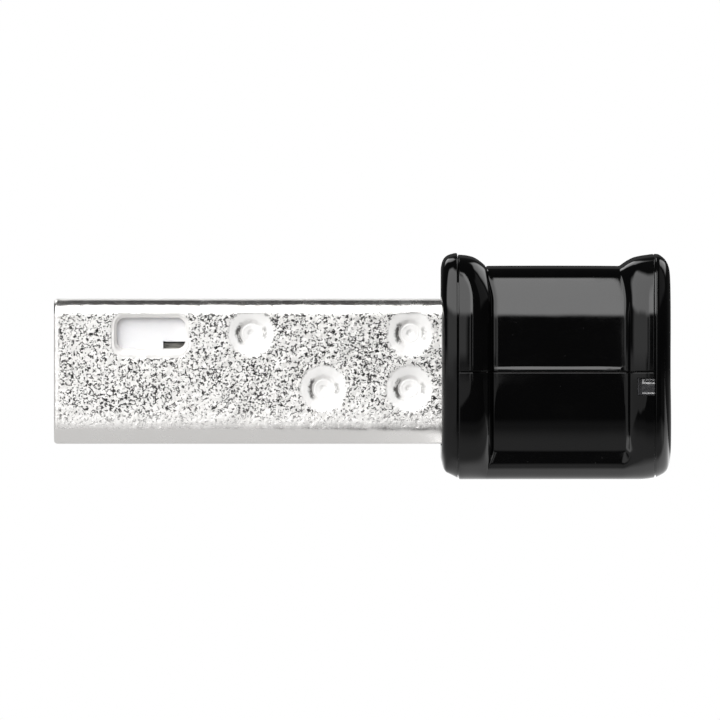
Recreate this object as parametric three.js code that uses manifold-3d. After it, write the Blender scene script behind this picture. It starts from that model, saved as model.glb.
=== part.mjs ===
// Nano USB wireless adapter: a nickel-plated Series-A plug and a short black two-flange housing.
// Millimetres. +X runs from the plug's tip to the rear cap, +Y is across, +Z is up.
// The adapter lies on its flat base, which is the plane z = 0. Every x below is measured from the plug's tip;
// the finished group is moved back by half the overall length, so its origin is under its middle.
import * as THREE from 'three';
import { mergeVertices } from 'three/addons/utils/BufferGeometryUtils.js';
import Module from 'manifold-3d';

const wasm = await Module();
wasm.setup();

// ---------------------------------------------------------------- driving dimensions
// plug shell
const SHELL_W = 12.0;            // across, a Series-A plug
const SHELL_H = 4.5;             // thickness, a Series-A plug
const SHELL_WALL = 0.25;         // nickel-plated steel strip
const SHELL_R = 0.5;             // outside bend radius
const SHELL_Z0 = 1.11;           // underside of the shell above the base
const SHELL_LEN = 13.9;          // 12.03 exposed, the rest is held in the housing
const SHELL_LEAD = 0.1;          // coined lead-in at the tip
const SHELL_SEAM = 0.03;         // butt joint of the folded strip, on the underside
// housing
const COLLAR_X = 12.03;          // front face of the collar
const BODY_LEN = 7.14;           // collar face to rear cap
const BODY_W = 15.0;
const BODY_H = 7.05;
const PART_Z = 3.34;             // parting plane of the two covers
const SEAM_FRONT = 12.535;       // collar to covers
const SEAM_REAR = 18.65;         // covers to rear cap
const SEAM = 0.034;              // width of every housing seam
const SIDE_ROUND_TOP = 1.3;      // how far the top of the sides rolls in
const SIDE_ROUND_BOT = 1.15;     // how far the bottom of the sides rolls in
const TOP_CROWN = 0.1;
const CAVITY_HALF_W = 6.35;
const CAVITY_Z0 = 0.75, CAVITY_Z1 = 6.0;
const POCKET_HALF_W = 6.85;      // counterbores that take the collar and cap spigots
const POCKET_Z0 = 0.55, POCKET_Z1 = 6.4;
const SPIGOT_WALL = 0.42, SPIGOT_LEN = 0.55, SPIGOT_GAP = 0.04;
// circuit board
const PCB_Z0 = 3.28, PCB_T = 1.0;
const PCB_Z1 = PCB_Z0 + PCB_T;
const PCB_NOSE_X = 0.9, PCB_SHOULDER_X = 3.42, PCB_BODY_X = 14.15, PCB_REAR_X = 18.5;
const PCB_NOSE_HALF = 4.6, PCB_PLUG_HALF = 5.5, PCB_BODY_HALF = 6.2;
const SOLDER = 0.02;             // standoff of every soldered part
// contacts
const CONTACT_T = 0.05, CONTACT_W = 1.0;
const CONTACT_OUTER_Y = 3.5, CONTACT_INNER_Y = 1.0;
const CONTACT_OUTER_X = 1.15, CONTACT_INNER_X = 2.15, CONTACT_END_X = 9.3;
// latch window in each side of the shell
const WINDOW = { x0: 1.95, x1: 4.07, z0: 4.07, z1: 5.02, r: 0.14 };
// dimples pressed into each side of the shell, two rows that centre the board
const DIMPLES = [[6.12, 4.54], [11.05, 4.54], [8.36, 2.82], [11.03, 2.82]];
const DIMPLE_OUT = [[0, 0.265], [0.13, 0.24], [0.22, 0.212], [0.36, 0.205],
  [0.44, 0.12], [0.56, 0.045], [0.72, 0]];
const DIMPLE_IN = [[0, 0.21], [0.38, 0.2], [0.52, 0.09], [0.66, 0]];
const DIMPLE_SIDES = 16;

// ---------------------------------------------------------------- solids and booleans
function solid(geometry) {
  const g = geometry.clone();
  for (const name of Object.keys(g.attributes)) if (name !== 'position') g.deleteAttribute(name);
  const m = mergeVertices(g, 1e-5);
  const p = m.attributes.position;
  const vertProperties = new Float32Array(p.count * 3);
  for (let i = 0; i < p.count; i++) {
    vertProperties[3 * i] = p.getX(i);
    vertProperties[3 * i + 1] = p.getY(i);
    vertProperties[3 * i + 2] = p.getZ(i);
  }
  const tris = [];
  const idx = m.index.array;
  for (let i = 0; i < idx.length; i += 3) {
    const [a, b, c] = [idx[i], idx[i + 1], idx[i + 2]];
    if (a !== b && b !== c && c !== a) tris.push(a, b, c);
  }
  return new wasm.Manifold(new wasm.Mesh({ numProp: 3, vertProperties, triVerts: new Uint32Array(tris) }));
}

function geometryOf(manifold) {
  const mesh = manifold.getMesh();
  const g = new THREE.BufferGeometry();
  const n = mesh.numProp;
  const count = mesh.vertProperties.length / n;
  const pos = new Float32Array(count * 3);
  for (let i = 0; i < count; i++) for (let k = 0; k < 3; k++) pos[3 * i + k] = mesh.vertProperties[n * i + k];
  g.setAttribute('position', new THREE.BufferAttribute(pos, 3));
  g.setIndex(new THREE.BufferAttribute(new Uint32Array(mesh.triVerts), 1));
  g.computeVertexNormals();
  return g;
}

const AXES_X = new THREE.Matrix4().makeBasis(
  new THREE.Vector3(0, 1, 0), new THREE.Vector3(0, 0, 1), new THREE.Vector3(1, 0, 0));

// block between two corners
function block(x0, x1, y0, y1, z0, z1) {
  const g = new THREE.BoxGeometry(x1 - x0, y1 - y0, z1 - z0);
  g.translate((x0 + x1) / 2, (y0 + y1) / 2, (z0 + z1) / 2);
  return g;
}
const cut = (...a) => solid(block(...a));

// rounded rectangle outline
function roundRect(x0, x1, y0, y1, r) {
  const s = new THREE.Shape();
  s.moveTo(x0 + r, y0);
  s.lineTo(x1 - r, y0);
  s.absarc(x1 - r, y0 + r, r, -Math.PI / 2, 0, false);
  s.lineTo(x1, y1 - r);
  s.absarc(x1 - r, y1 - r, r, 0, Math.PI / 2, false);
  s.lineTo(x0 + r, y1);
  s.absarc(x0 + r, y1 - r, r, Math.PI / 2, Math.PI, false);
  s.lineTo(x0, y0 + r);
  s.absarc(x0 + r, y0 + r, r, Math.PI, 1.5 * Math.PI, false);
  return s;
}

// YZ outline extruded along X
function alongX(shape, x0, x1, curveSegments = 6, bevel = 0) {
  const g = new THREE.ExtrudeGeometry(shape, {
    depth: x1 - x0 - 2 * bevel, steps: 1, curveSegments,
    bevelEnabled: bevel > 0, bevelThickness: bevel, bevelSize: bevel, bevelOffset: -bevel, bevelSegments: 2,
  });
  g.translate(0, 0, bevel);
  g.applyMatrix4(AXES_X);
  g.translate(x0, 0, 0);
  return g;
}

// XY outline extruded up Z
function upZ(shape, z0, z1, curveSegments = 4, bevel = 0) {
  const g = new THREE.ExtrudeGeometry(shape, {
    depth: z1 - z0 - 2 * bevel, steps: 1, curveSegments,
    bevelEnabled: bevel > 0, bevelThickness: bevel, bevelSize: bevel, bevelOffset: -bevel, bevelSegments: 1,
  });
  g.translate(0, 0, z0 + bevel);
  return g;
}

// outline of plain corner points
function outline(points) {
  const s = new THREE.Shape();
  s.moveTo(...points[0]);
  for (const p of points.slice(1)) s.lineTo(...p);
  s.closePath();
  return s;
}

// ---------------------------------------------------------------- housing skin
// Cross-section of the flanges: crowned top, sides that roll in above and below the parting plane, flat base.
const SIDE_STEPS = [3, 10, 22, 35, 48, 60, 71, 81, 90];
function sectionPoints() {
  const top = [], bottom = [];
  const hTop = BODY_H - TOP_CROWN - PART_Z;
  for (const a of SIDE_STEPS) {
    const t = THREE.MathUtils.degToRad(a);
    const z = Math.pow(Math.sin(t), 2 / 3);
    top.push([BODY_W / 2 - SIDE_ROUND_TOP * (1 - Math.cos(t)), PART_Z + hTop * z]);
    bottom.push([BODY_W / 2 - SIDE_ROUND_BOT * (1 - Math.cos(t)), PART_Z - PART_Z * z]);
  }
  const yTop = BODY_W / 2 - SIDE_ROUND_TOP, yBot = BODY_W / 2 - SIDE_ROUND_BOT;
  for (const f of [0.66, 0.33]) {
    top.push([yTop * f, BODY_H - TOP_CROWN * f * f]);
    bottom.push([yBot * f, 0]);
  }
  const right = [[BODY_W / 2, PART_Z], ...top, [0, BODY_H]];
  const pts = [...right];
  for (let i = top.length; i >= 0; i--) pts.push([-right[i][0], right[i][1]]);
  for (const p of bottom) pts.push([-p[0], p[1]]);
  pts.push([0, 0]);
  for (let i = bottom.length - 1; i >= 0; i--) pts.push([bottom[i][0], bottom[i][1]]);
  return pts;
}
const SECTION = sectionPoints();
const AROUND = SECTION.length;
const SECTION_N = SECTION.map((p, i) => {
  const a = SECTION[(i + AROUND - 1) % AROUND], b = SECTION[(i + 1) % AROUND];
  const t = [b[0] - a[0], b[1] - a[1]];
  const l = Math.hypot(...t);
  return [t[1] / l, -t[0] / l];
});

// Rows along the housing, in mm behind the collar face: [x, inset] over the top, on the sides and under the base.
// The inset is how far the skin lies below the full flange section.
const ROWS = [
  // collar
  [[0.0, 0.36], [0.0, 0.40], [0.0, 0.62]],
  [[0.04, 0.23], [0.04, 0.24], [0.05, 0.44]],
  [[0.10, 0.14], [0.10, 0.15], [0.10, 0.30]],
  [[0.20, 0.065], [0.20, 0.07], [0.20, 0.20]],
  [[0.33, 0.022], [0.33, 0.025], [0.33, 0.13]],
  [[0.46, 0.0], [0.46, 0.0], [0.46, 0.065]],
  [[0.52, 0.05], [0.52, 0.03], [0.52, 0.0]],
  // front flange and its shoulder
  [[0.62, 0.054], [0.64, 0.03], [0.62, 0.0]],
  [[0.82, 0.076], [0.88, 0.05], [0.82, 0.0]],
  [[0.97, 0.118], [1.06, 0.09], [0.97, 0.0]],
  [[1.10, 0.18], [1.22, 0.16], [1.10, 0.0]],
  [[1.21, 0.26], [1.36, 0.25], [1.21, 0.0]],
  [[1.30, 0.345], [1.48, 0.36], [1.30, 0.0]],
  [[1.375, 0.45], [1.575, 0.47], [1.375, 0.0]],
  // belt between the flanges
  [[1.42, 0.42], [1.63, 0.43], [1.42, 0.0]],
  [[1.50, 0.402], [1.72, 0.405], [1.50, 0.0]],
  [[2.6, 0.395], [2.7, 0.385], [2.6, 0.0]],
  [[4.4, 0.395], [4.5, 0.385], [4.4, 0.0]],
  [[5.42, 0.402], [5.52, 0.405], [5.42, 0.0]],
  [[5.50, 0.42], [5.61, 0.43], [5.50, 0.0]],
  [[5.545, 0.44], [5.665, 0.47], [5.545, 0.0]],
  // rear flange
  [[5.61, 0.35], [5.74, 0.36], [5.61, 0.0]],
  [[5.74, 0.265], [5.88, 0.26], [5.74, 0.0]],
  [[5.90, 0.175], [6.02, 0.175], [5.90, 0.0]],
  [[6.08, 0.112], [6.18, 0.11], [6.08, 0.0]],
  [[6.32, 0.065], [6.38, 0.06], [6.32, 0.012]],
  [[6.55, 0.033], [6.56, 0.03], [6.55, 0.045]],
  // rear cap
  [[6.72, 0.03], [6.72, 0.03], [6.66, 0.085]],
  [[6.82, 0.075], [6.82, 0.08], [6.79, 0.14]],
  [[6.92, 0.155], [6.92, 0.165], [6.92, 0.24]],
  [[7.0, 0.26], [7.0, 0.27], [7.0, 0.34]],
  [[7.045, 0.40], [7.045, 0.42], [7.045, 0.48]],
  [[7.07, 0.62], [7.07, 0.64], [7.07, 0.70]],
];
const REAR_BOW = [[0.3, 7.095], [0.6, 7.125], [0.85, BODY_LEN]];   // the rear face bows out: [share of the way to the middle, x]

const smooth = (a, b, v) => {
  const t = Math.min(1, Math.max(0, (v - a) / (b - a)));
  return t * t * (3 - 2 * t);
};

function skinPoint(i, row) {
  const [y, z] = SECTION[i], [ny, nz] = SECTION_N[i];
  const k = Math.min(row, ROWS.length - 1);
  const top = smooth(5.6, 6.9, z), base = smooth(0.84, 0, z), side = 1 - top - base;
  const [t, s, b] = ROWS[k];
  const x = COLLAR_X + t[0] * top + s[0] * side + b[0] * base;
  const inset = t[1] * top + s[1] * side + b[1] * base;
  let p = [x, y - ny * inset, z - nz * inset];
  if (row >= ROWS.length) {
    const [f, xr] = REAR_BOW[row - ROWS.length];
    p = [COLLAR_X + xr, p[1] * (1 - f), PART_Z + (p[2] - PART_Z) * (1 - f)];
  }
  return p;
}

function housingSkin() {
  const rows = ROWS.length + REAR_BOW.length;
  const g = new THREE.CylinderGeometry(1, 1, 1, AROUND, rows - 1, false);
  const p = g.attributes.position;
  for (let v = 0; v < p.count; v++) {
    const x = p.getX(v), y = p.getY(v), z = p.getZ(v);
    const row = Math.round((0.5 + y) * (rows - 1));
    if (Math.hypot(x, z) < 0.5) {
      p.setXYZ(v, row === 0 ? COLLAR_X : COLLAR_X + BODY_LEN, 0, PART_Z);
      continue;
    }
    const i = ((Math.round((Math.atan2(x, z) / (2 * Math.PI)) * AROUND) % AROUND) + AROUND) % AROUND;
    p.setXYZ(v, ...skinPoint(i, row));
  }
  const s = solid(g);
  if (s.volume() <= 0) throw new Error('the housing skin is inside out');
  return s;
}

const skin = housingSkin();
const X_FRONT = SEAM_FRONT + SEAM / 2, X_REAR = SEAM_REAR - SEAM / 2;
const BIG = 20;

// ---------------------------------------------------------------- usb_shell
function usbShell() {
  const z1 = SHELL_Z0 + SHELL_H, h = SHELL_W / 2, w = SHELL_WALL;
  let s = solid(alongX(roundRect(-h, h, SHELL_Z0, z1, SHELL_R), 0, SHELL_LEN, 7, SHELL_LEAD));
  // the lead-in is on the tip only, so the rear is squared off
  s = s.intersect(cut(-1, SHELL_LEN - SHELL_LEAD, -BIG, BIG, -BIG, BIG))
    .add(solid(alongX(roundRect(-h, h, SHELL_Z0, z1, SHELL_R), SHELL_LEN - 1, SHELL_LEN, 7)));
  s = s.subtract(solid(alongX(roundRect(-h + w, h - w, SHELL_Z0 + w, z1 - w, SHELL_R - w), -1, SHELL_LEN + 1, 7)));
  // latch windows, each with a coined rim
  for (const side of [-1, 1]) {
    const hole = new THREE.ExtrudeGeometry(roundRect(WINDOW.x0, WINDOW.x1, WINDOW.z0, WINDOW.z1, WINDOW.r),
      { depth: 1.2, bevelEnabled: false, curveSegments: 4 });
    hole.rotateX(Math.PI / 2);
    hole.translate(0, side * h + 0.6, 0);
    s = s.subtract(solid(hole));
    // coined rim: a tapered pan, widest at the outer face
    const pan = new THREE.ExtrudeGeometry(roundRect(WINDOW.x0 - 0.01, WINDOW.x1 + 0.02, WINDOW.z0 - 0.03, WINDOW.z1 + 0.02, 0.15),
      { depth: 0.01, bevelEnabled: true, bevelThickness: 0.1, bevelSize: 0.13, bevelOffset: 0, bevelSegments: 1, curveSegments: 4 });
    pan.rotateX(Math.PI / 2);
    pan.translate(0, side * h + 0.005, 0);
    s = s.subtract(solid(pan));
  }
  // locating dimples: a dish outside, a boss inside
  for (const side of [-1, 1]) {
    for (const [x, z] of DIMPLES) {
      const at = (g) => { if (side < 0) g.rotateX(Math.PI); return g.translate(x, side * h, z); };
      s = s.add(solid(at(lathe([...DIMPLE_IN.map(([r, d]) => [r, -d - w]), [0.68, -w / 2], [0, -w / 2]]))));
      s = s.subtract(solid(at(lathe([...DIMPLE_OUT.map(([r, d]) => [r, -d]), [0.8, 0.1], [0, 0.1]]))));
    }
  }
  // square latch holes in the broad faces
  for (const y of [-2.3, 2.3]) {
    s = s.subtract(solid(upZ(roundRect(4.2, 6.2, y - 1.25, y + 1.25, 0.12), 0, 9, 3)));
  }
  // butt joint of the folded strip
  s = s.subtract(cut(-1, SHELL_LEN + 1, -SHELL_SEAM / 2, SHELL_SEAM / 2, 0, SHELL_Z0 + 1));
  // lances behind the collar keep the plug from being pulled out
  for (const y of [-3.6, 3.6]) {
    s = s.add(solid(lance(y, z1 - 0.05, 1))).add(solid(lance(y, SHELL_Z0 + 0.05, -1)));
  }
  return s;
}
function lance(y, z, up) {
  const g = new THREE.ExtrudeGeometry(outline([[12.62, 0], [13.35, 0], [12.62, 0.33]]), { depth: 1.4, bevelEnabled: false });
  g.rotateX(Math.PI / 2);
  g.translate(0, y + 0.7, 0);
  if (up < 0) { g.rotateX(Math.PI); g.translate(0, 2 * y, 0); }
  g.translate(0, 0, z);
  return g;
}
// profile of [radius, height] points turned about +Y, from the bottom of the axis round to the top of it
function lathe(points) {
  return new THREE.LatheGeometry(points.map(([r, y]) => new THREE.Vector2(r, y)), DIMPLE_SIDES);
}

// ---------------------------------------------------------------- the rest of the plug
function contactInsulator() {
  // top plate over the board, a lip across its nose and a rail down each side of it
  const inner = SHELL_W / 2 - SHELL_WALL - 0.03, zTop = SHELL_Z0 + SHELL_H - SHELL_WALL - 0.02;
  let s = solid(alongX(roundRect(-inner, inner, PCB_Z0, zTop, 0.24), 0.35, 5.35, 4));
  s = s.subtract(cut(PCB_NOSE_X - 0.03, 9, -PCB_NOSE_HALF - 0.03, PCB_NOSE_HALF + 0.03, 0, PCB_Z1 + SOLDER));
  s = s.subtract(cut(PCB_SHOULDER_X - 0.03, 9, -BIG, BIG, 0, PCB_Z1 + SOLDER));
  s = s.add(cut(5.0, 6.7, -5.2, 5.2, PCB_Z1 + SOLDER, zTop));
  // moulding recess over the nose
  s = s.subtract(cut(1.6, 3.2, -3.4, 3.4, PCB_Z1 - 0.2, PCB_Z1 + 0.35));
  return s;
}

function pcbSupport() {
  // closes the tongue space and holds the board up against the insulator
  const z0 = SHELL_Z0 + SHELL_WALL + 0.02, z1 = PCB_Z0 - SOLDER;
  let s = cut(9.55, 13.8, -5.45, 5.45, z0, z1);
  s = s.subtract(cut(10.35, 13.2, -4.7, -0.4, z0 - 1, z1 - 0.6));
  s = s.subtract(cut(10.35, 13.2, 0.4, 4.7, z0 - 1, z1 - 0.6));
  return s;
}

function contact(y, x0) {
  return solid(upZ(roundRect(x0, CONTACT_END_X, y - CONTACT_W / 2, y + CONTACT_W / 2, 0.18),
    PCB_Z0 - SOLDER - CONTACT_T, PCB_Z0 - SOLDER, 3));
}

function mainPcb() {
  const n = PCB_NOSE_HALF, p = PCB_PLUG_HALF, b = PCB_BODY_HALF, c = 0.35;
  let s = solid(upZ(outline([
    [PCB_NOSE_X + 0.2, -n], [PCB_SHOULDER_X, -n], [PCB_SHOULDER_X, -p], [PCB_BODY_X, -p], [PCB_BODY_X, -b],
    [PCB_REAR_X - c, -b], [PCB_REAR_X, -b + c], [PCB_REAR_X, b - c], [PCB_REAR_X - c, b], [PCB_BODY_X, b],
    [PCB_BODY_X, p], [PCB_SHOULDER_X, p], [PCB_SHOULDER_X, n], [PCB_NOSE_X + 0.2, n], [PCB_NOSE_X, n - 0.2],
    [PCB_NOSE_X, -n + 0.2]]), PCB_Z0, PCB_Z1));
  return s;
}

// ---------------------------------------------------------------- housing pieces
function spigot(x0, x1) {
  const g = SPIGOT_GAP, w = SPIGOT_WALL;
  const o = solid(alongX(roundRect(-POCKET_HALF_W + g, POCKET_HALF_W - g, POCKET_Z0 + g, POCKET_Z1 - g, 0.75), x0, x1, 4));
  return o.subtract(solid(alongX(roundRect(-POCKET_HALF_W + g + w, POCKET_HALF_W - g - w, POCKET_Z0 + g + w,
    POCKET_Z1 - g - w, 0.45), x0 - 1, x1 + 1, 4)));
}

function frontCollar() {
  let s = skin.intersect(cut(-BIG, SEAM_FRONT - SEAM / 2, -BIG, BIG, -BIG, BIG));
  s = s.add(spigot(SEAM_FRONT - 0.1, SEAM_FRONT + SPIGOT_LEN));
  // aperture for the plug
  const c = 0.03, h = SHELL_W / 2 + c;
  s = s.subtract(solid(alongX(roundRect(-h, h, SHELL_Z0 - c, SHELL_Z0 + SHELL_H + c, SHELL_R + c), 0, SEAM_FRONT - 0.05, 5)));
  // behind the face the aperture opens out to clear the lances
  s = s.subtract(cut(SEAM_FRONT - 0.06, 14, -h, h, SHELL_Z0 - c, SHELL_Z0 + SHELL_H + c));
  for (const y of [-3.6, 3.6]) s = s.subtract(cut(SEAM_FRONT + 0.03, 14, y - 0.8, y + 0.8, SHELL_Z0 - 0.34, SHELL_Z0 + SHELL_H + 0.34));
  return s;
}

function coverBlank() {
  let s = skin.intersect(cut(X_FRONT, X_REAR, -BIG, BIG, -BIG, BIG));
  s = s.subtract(solid(alongX(roundRect(-CAVITY_HALF_W, CAVITY_HALF_W, CAVITY_Z0, CAVITY_Z1, 0.8), 0, 30, 4)));
  const pocket = roundRect(-POCKET_HALF_W, POCKET_HALF_W, POCKET_Z0, POCKET_Z1, 0.8);
  s = s.subtract(solid(alongX(pocket, 0, SEAM_FRONT + SPIGOT_LEN + 0.08, 4)));
  s = s.subtract(solid(alongX(pocket, SEAM_REAR - SPIGOT_LEN - 0.08, 30, 4)));
  return s;
}
const blank = coverBlank();
// tongue and groove along the parting plane
const TONGUE_X0 = SEAM_FRONT + SPIGOT_LEN + 0.35, TONGUE_X1 = SEAM_REAR - SPIGOT_LEN - 0.35;

function upperCover() {
  let s = blank.intersect(cut(-BIG, BIG, -BIG, BIG, PART_Z + SEAM / 2, BIG));
  for (const k of [-1, 1]) {
    const y0 = Math.min(k * 6.53, k * 6.79), y1 = Math.max(k * 6.53, k * 6.79);
    s = s.subtract(cut(TONGUE_X0 - 0.03, TONGUE_X1 + 0.03, y0, y1, 0, PART_Z + 0.42));
    // ribs that press the board down
    for (const x of [14.55, 16.75]) {
      const a = Math.min(k * 5.75, k * 6.45), b = Math.max(k * 5.75, k * 6.45);
      s = s.add(cut(x, x + 0.5, a, b, PCB_Z1 + 0.02, CAVITY_Z1 + 0.1));
    }
  }
  // rib across the roof that stops the shell's rear edge
  s = s.add(cut(14.0, 14.4, -3.2, 3.2, 5.15, CAVITY_Z1 + 0.1));
  return s;
}

function lowerCover() {
  let s = blank.intersect(cut(-BIG, BIG, -BIG, BIG, -BIG, PART_Z - SEAM / 2));
  for (const k of [-1, 1]) {
    const y0 = Math.min(k * 6.56, k * 6.76), y1 = Math.max(k * 6.56, k * 6.76);
    s = s.add(cut(TONGUE_X0, TONGUE_X1, y0, y1, PART_Z - 0.3, PART_Z + 0.38));
    // ledge the board rests on
    const a = Math.min(k * 5.65, k * 6.45), b = Math.max(k * 5.65, k * 6.45);
    s = s.add(cut(14.3, 17.3, a, b, CAVITY_Z0 - 0.1, PCB_Z0 - 0.02));
  }
  // stop behind the shell's rear edge
  s = s.add(cut(14.0, 14.4, -3.2, 3.2, CAVITY_Z0 - 0.1, 1.75));
  s = s.subtract(lightPipeHole(0.02));
  return s;
}

function rearCap() {
  let s = skin.intersect(cut(SEAM_REAR + SEAM / 2, BIG + 10, -BIG, BIG, -BIG, BIG));
  s = s.add(spigot(SEAM_REAR - SPIGOT_LEN, SEAM_REAR + 0.1));
  s = s.subtract(lightPipeHole(0.03));
  return s;
}

// the light pipe sits in the -Y side just under the parting plane, against the rear cap
const PIPE = { x0: 18.1, x1: SEAM_REAR - SEAM / 2 - 0.01, z0: 2.62, z1: 3.15 };
function lightPipeHole(c) {
  return cut(PIPE.x0 - c, PIPE.x1 + (c > 0.02 ? c : 0.2), -9, -6.0, PIPE.z0 - c, PIPE.z1 + c);
}
function ledLightPipe() {
  const outer = skin.intersect(cut(PIPE.x0, PIPE.x1, -9, -6.05, PIPE.z0, PIPE.z1));
  return outer;
}

// ---------------------------------------------------------------- soldered parts
function chip(x0, x1, y0, y1, z0, z1, r = 0.05, bevel = 0.04) {
  return solid(upZ(roundRect(x0, x1, y0, y1, r), z0, z1, 1, bevel));
}
// two-terminal part: a body with slightly larger wrapped end terminations
function twoTerminal(x0, x1, y0, y1, z0, z1, alongY = false) {
  const t = 0.03;
  let s = cut(x0 + (alongY ? t : 0.02), x1 - (alongY ? t : 0.02), y0 + (alongY ? 0.02 : t), y1 - (alongY ? 0.02 : t), z0 + t, z1 - t);
  if (alongY) {
    const e = (y1 - y0) * 0.24;
    s = s.add(cut(x0, x1, y0, y0 + e, z0, z1)).add(cut(x0, x1, y1 - e, y1, z0, z1));
  } else {
    const e = (x1 - x0) * 0.24;
    s = s.add(cut(x0, x0 + e, y0, y1, z0, z1)).add(cut(x1 - e, x1, y0, y1, z0, z1));
  }
  return s;
}
const UP = PCB_Z1 + SOLDER, DOWN = PCB_Z0 - SOLDER;

function crystal() {
  return solid(upZ(roundRect(14.55, 17.05, -5.35, -2.15, 0.12), UP, UP + 0.45, 2))
    .add(solid(upZ(roundRect(14.7, 16.9, -5.2, -2.3, 0.2), UP + 0.4, UP + 0.75, 3, 0.05)));
}
function powerInductor() {
  const core = solid(upZ(roundRect(14.6, 16.2, 1.35, 3.35, 0.25), UP, UP + 0.25, 2))
    .add(solid(upZ(roundRect(14.6, 16.2, 1.35, 3.35, 0.25), UP + 0.78, UP + 1.0, 2)));
  const winding = new THREE.CylinderGeometry(0.72, 0.72, 0.8, 20);
  winding.rotateX(Math.PI / 2);
  winding.translate(15.4, 2.35, UP + 0.5);
  return core.add(solid(winding));
}
function regulator() {
  // five-lead package
  let s = solid(upZ(roundRect(14.9, 16.3, -1.65, 1.05 - 0.1, 0.06), UP + 0.1, UP + 0.95, 1, 0.05));
  for (const y of [-1.3, -0.45, 0.4]) {
    s = s.add(cut(14.55, 15.0, y, y + 0.3, UP, UP + 0.14)).add(cut(14.85, 15.0, y, y + 0.3, UP, UP + 0.4));
    if (y !== -0.45) s = s.add(cut(16.2, 16.65, y, y + 0.3, UP, UP + 0.14)).add(cut(16.2, 16.35, y, y + 0.3, UP, UP + 0.4));
  }
  return s;
}

// ---------------------------------------------------------------- scene graph
const LOOK = {
  nickel: { color: 0xcfcdc8, roughness: 0.35, metalness: 1.0 },
  black: { color: 0x0b0b0c, roughness: 0.12, metalness: 0.0 },
  white: { color: 0xf1f0f4, roughness: 0.45, metalness: 0.0 },
  gold: { color: 0xd9a94a, roughness: 0.25, metalness: 1.0 },
  mask: { color: 0x0f4f35, roughness: 0.4, metalness: 0.0 },
  epoxy: { color: 0x1b1b1d, roughness: 0.55, metalness: 0.0 },
  steel: { color: 0xb9b9bb, roughness: 0.25, metalness: 1.0 },
  tin: { color: 0xc8c8c6, roughness: 0.35, metalness: 0.6 },
  ceramicBrown: { color: 0x9a7a58, roughness: 0.5, metalness: 0.0 },
  ceramicWhite: { color: 0xe9e6df, roughness: 0.4, metalness: 0.0 },
  ferrite: { color: 0x3a3a3d, roughness: 0.7, metalness: 0.0 },
  smoke: { color: 0x6d6e72, roughness: 0.08, metalness: 0.0 },
};

const adapter = new THREE.Group();
function add(group, name, manifold, look) {
  const material = new THREE.MeshStandardMaterial(LOOK[look]);
  const mesh = new THREE.Mesh(geometryOf(manifold), material);
  mesh.name = name;
  group.add(mesh);
  return mesh;
}

const housing = new THREE.Group();
add(housing, 'front_collar', frontCollar(), 'black');
add(housing, 'upper_cover', upperCover(), 'black');
add(housing, 'lower_cover', lowerCover(), 'black');
add(housing, 'rear_cap', rearCap(), 'black');
add(housing, 'led_light_pipe', ledLightPipe(), 'smoke');

const plug = new THREE.Group();
add(plug, 'usb_shell', usbShell(), 'nickel');
add(plug, 'contact_insulator', contactInsulator(), 'white');
add(plug, 'pcb_support', pcbSupport(), 'white');
add(plug, 'contact_vbus', contact(CONTACT_OUTER_Y, CONTACT_OUTER_X), 'gold');
add(plug, 'contact_d_minus', contact(CONTACT_INNER_Y, CONTACT_INNER_X), 'gold');
add(plug, 'contact_d_plus', contact(-CONTACT_INNER_Y, CONTACT_INNER_X), 'gold');
add(plug, 'contact_ground', contact(-CONTACT_OUTER_Y, CONTACT_OUTER_X), 'gold');

const board = new THREE.Group();
add(board, 'main_pcb', mainPcb(), 'mask');
add(board, 'wifi_soc', chip(7.1, 13.1, -3, 3, UP, UP + 0.85), 'epoxy');
add(board, 'crystal', crystal(), 'steel');
add(board, 'voltage_regulator', regulator(), 'epoxy');
add(board, 'power_inductor', powerInductor(), 'ferrite');
add(board, 'chip_antenna', twoTerminal(17.0, 18.35, 0.3, 5.4, UP, UP + 0.9, true), 'ceramicWhite');
add(board, 'antenna_match_capacitor', twoTerminal(17.25, 17.75, -1.3, -0.3, UP, UP + 0.5, true), 'ceramicBrown');
add(board, 'antenna_match_inductor', twoTerminal(17.25, 17.75, -2.7, -1.7, UP, UP + 0.5, true), 'ceramicBrown');
add(board, 'decoupling_capacitor_1', twoTerminal(7.6, 8.6, 3.7, 4.2, UP, UP + 0.5), 'ceramicBrown');
add(board, 'decoupling_capacitor_2', twoTerminal(11.3, 12.3, 3.7, 4.2, UP, UP + 0.5), 'ceramicBrown');
add(board, 'decoupling_capacitor_3', twoTerminal(7.6, 8.6, -4.2, -3.7, UP, UP + 0.5), 'ceramicBrown');
add(board, 'decoupling_capacitor_4', twoTerminal(11.3, 12.3, -4.2, -3.7, UP, UP + 0.5), 'ceramicBrown');
add(board, 'input_capacitor', twoTerminal(14.9, 16.9, 0.9, 2.15, DOWN - 1.1, DOWN), 'ceramicBrown');
add(board, 'output_capacitor', twoTerminal(14.9, 16.9, 2.9, 4.15, DOWN - 1.1, DOWN), 'ceramicBrown');
add(board, 'status_led', twoTerminal(17.65, 18.4, -5.95, -4.35, DOWN - 0.6, DOWN, true), 'ceramicWhite');
add(board, 'led_resistor', twoTerminal(17.8, 18.3, -3.9, -2.9, DOWN - 0.4, DOWN, true), 'epoxy');

adapter.add(housing, plug, board);
// everything above is measured from the plug's tip; the origin is under the middle of the adapter
adapter.position.x = -(COLLAR_X + BODY_LEN) / 2;
export default adapter;
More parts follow.
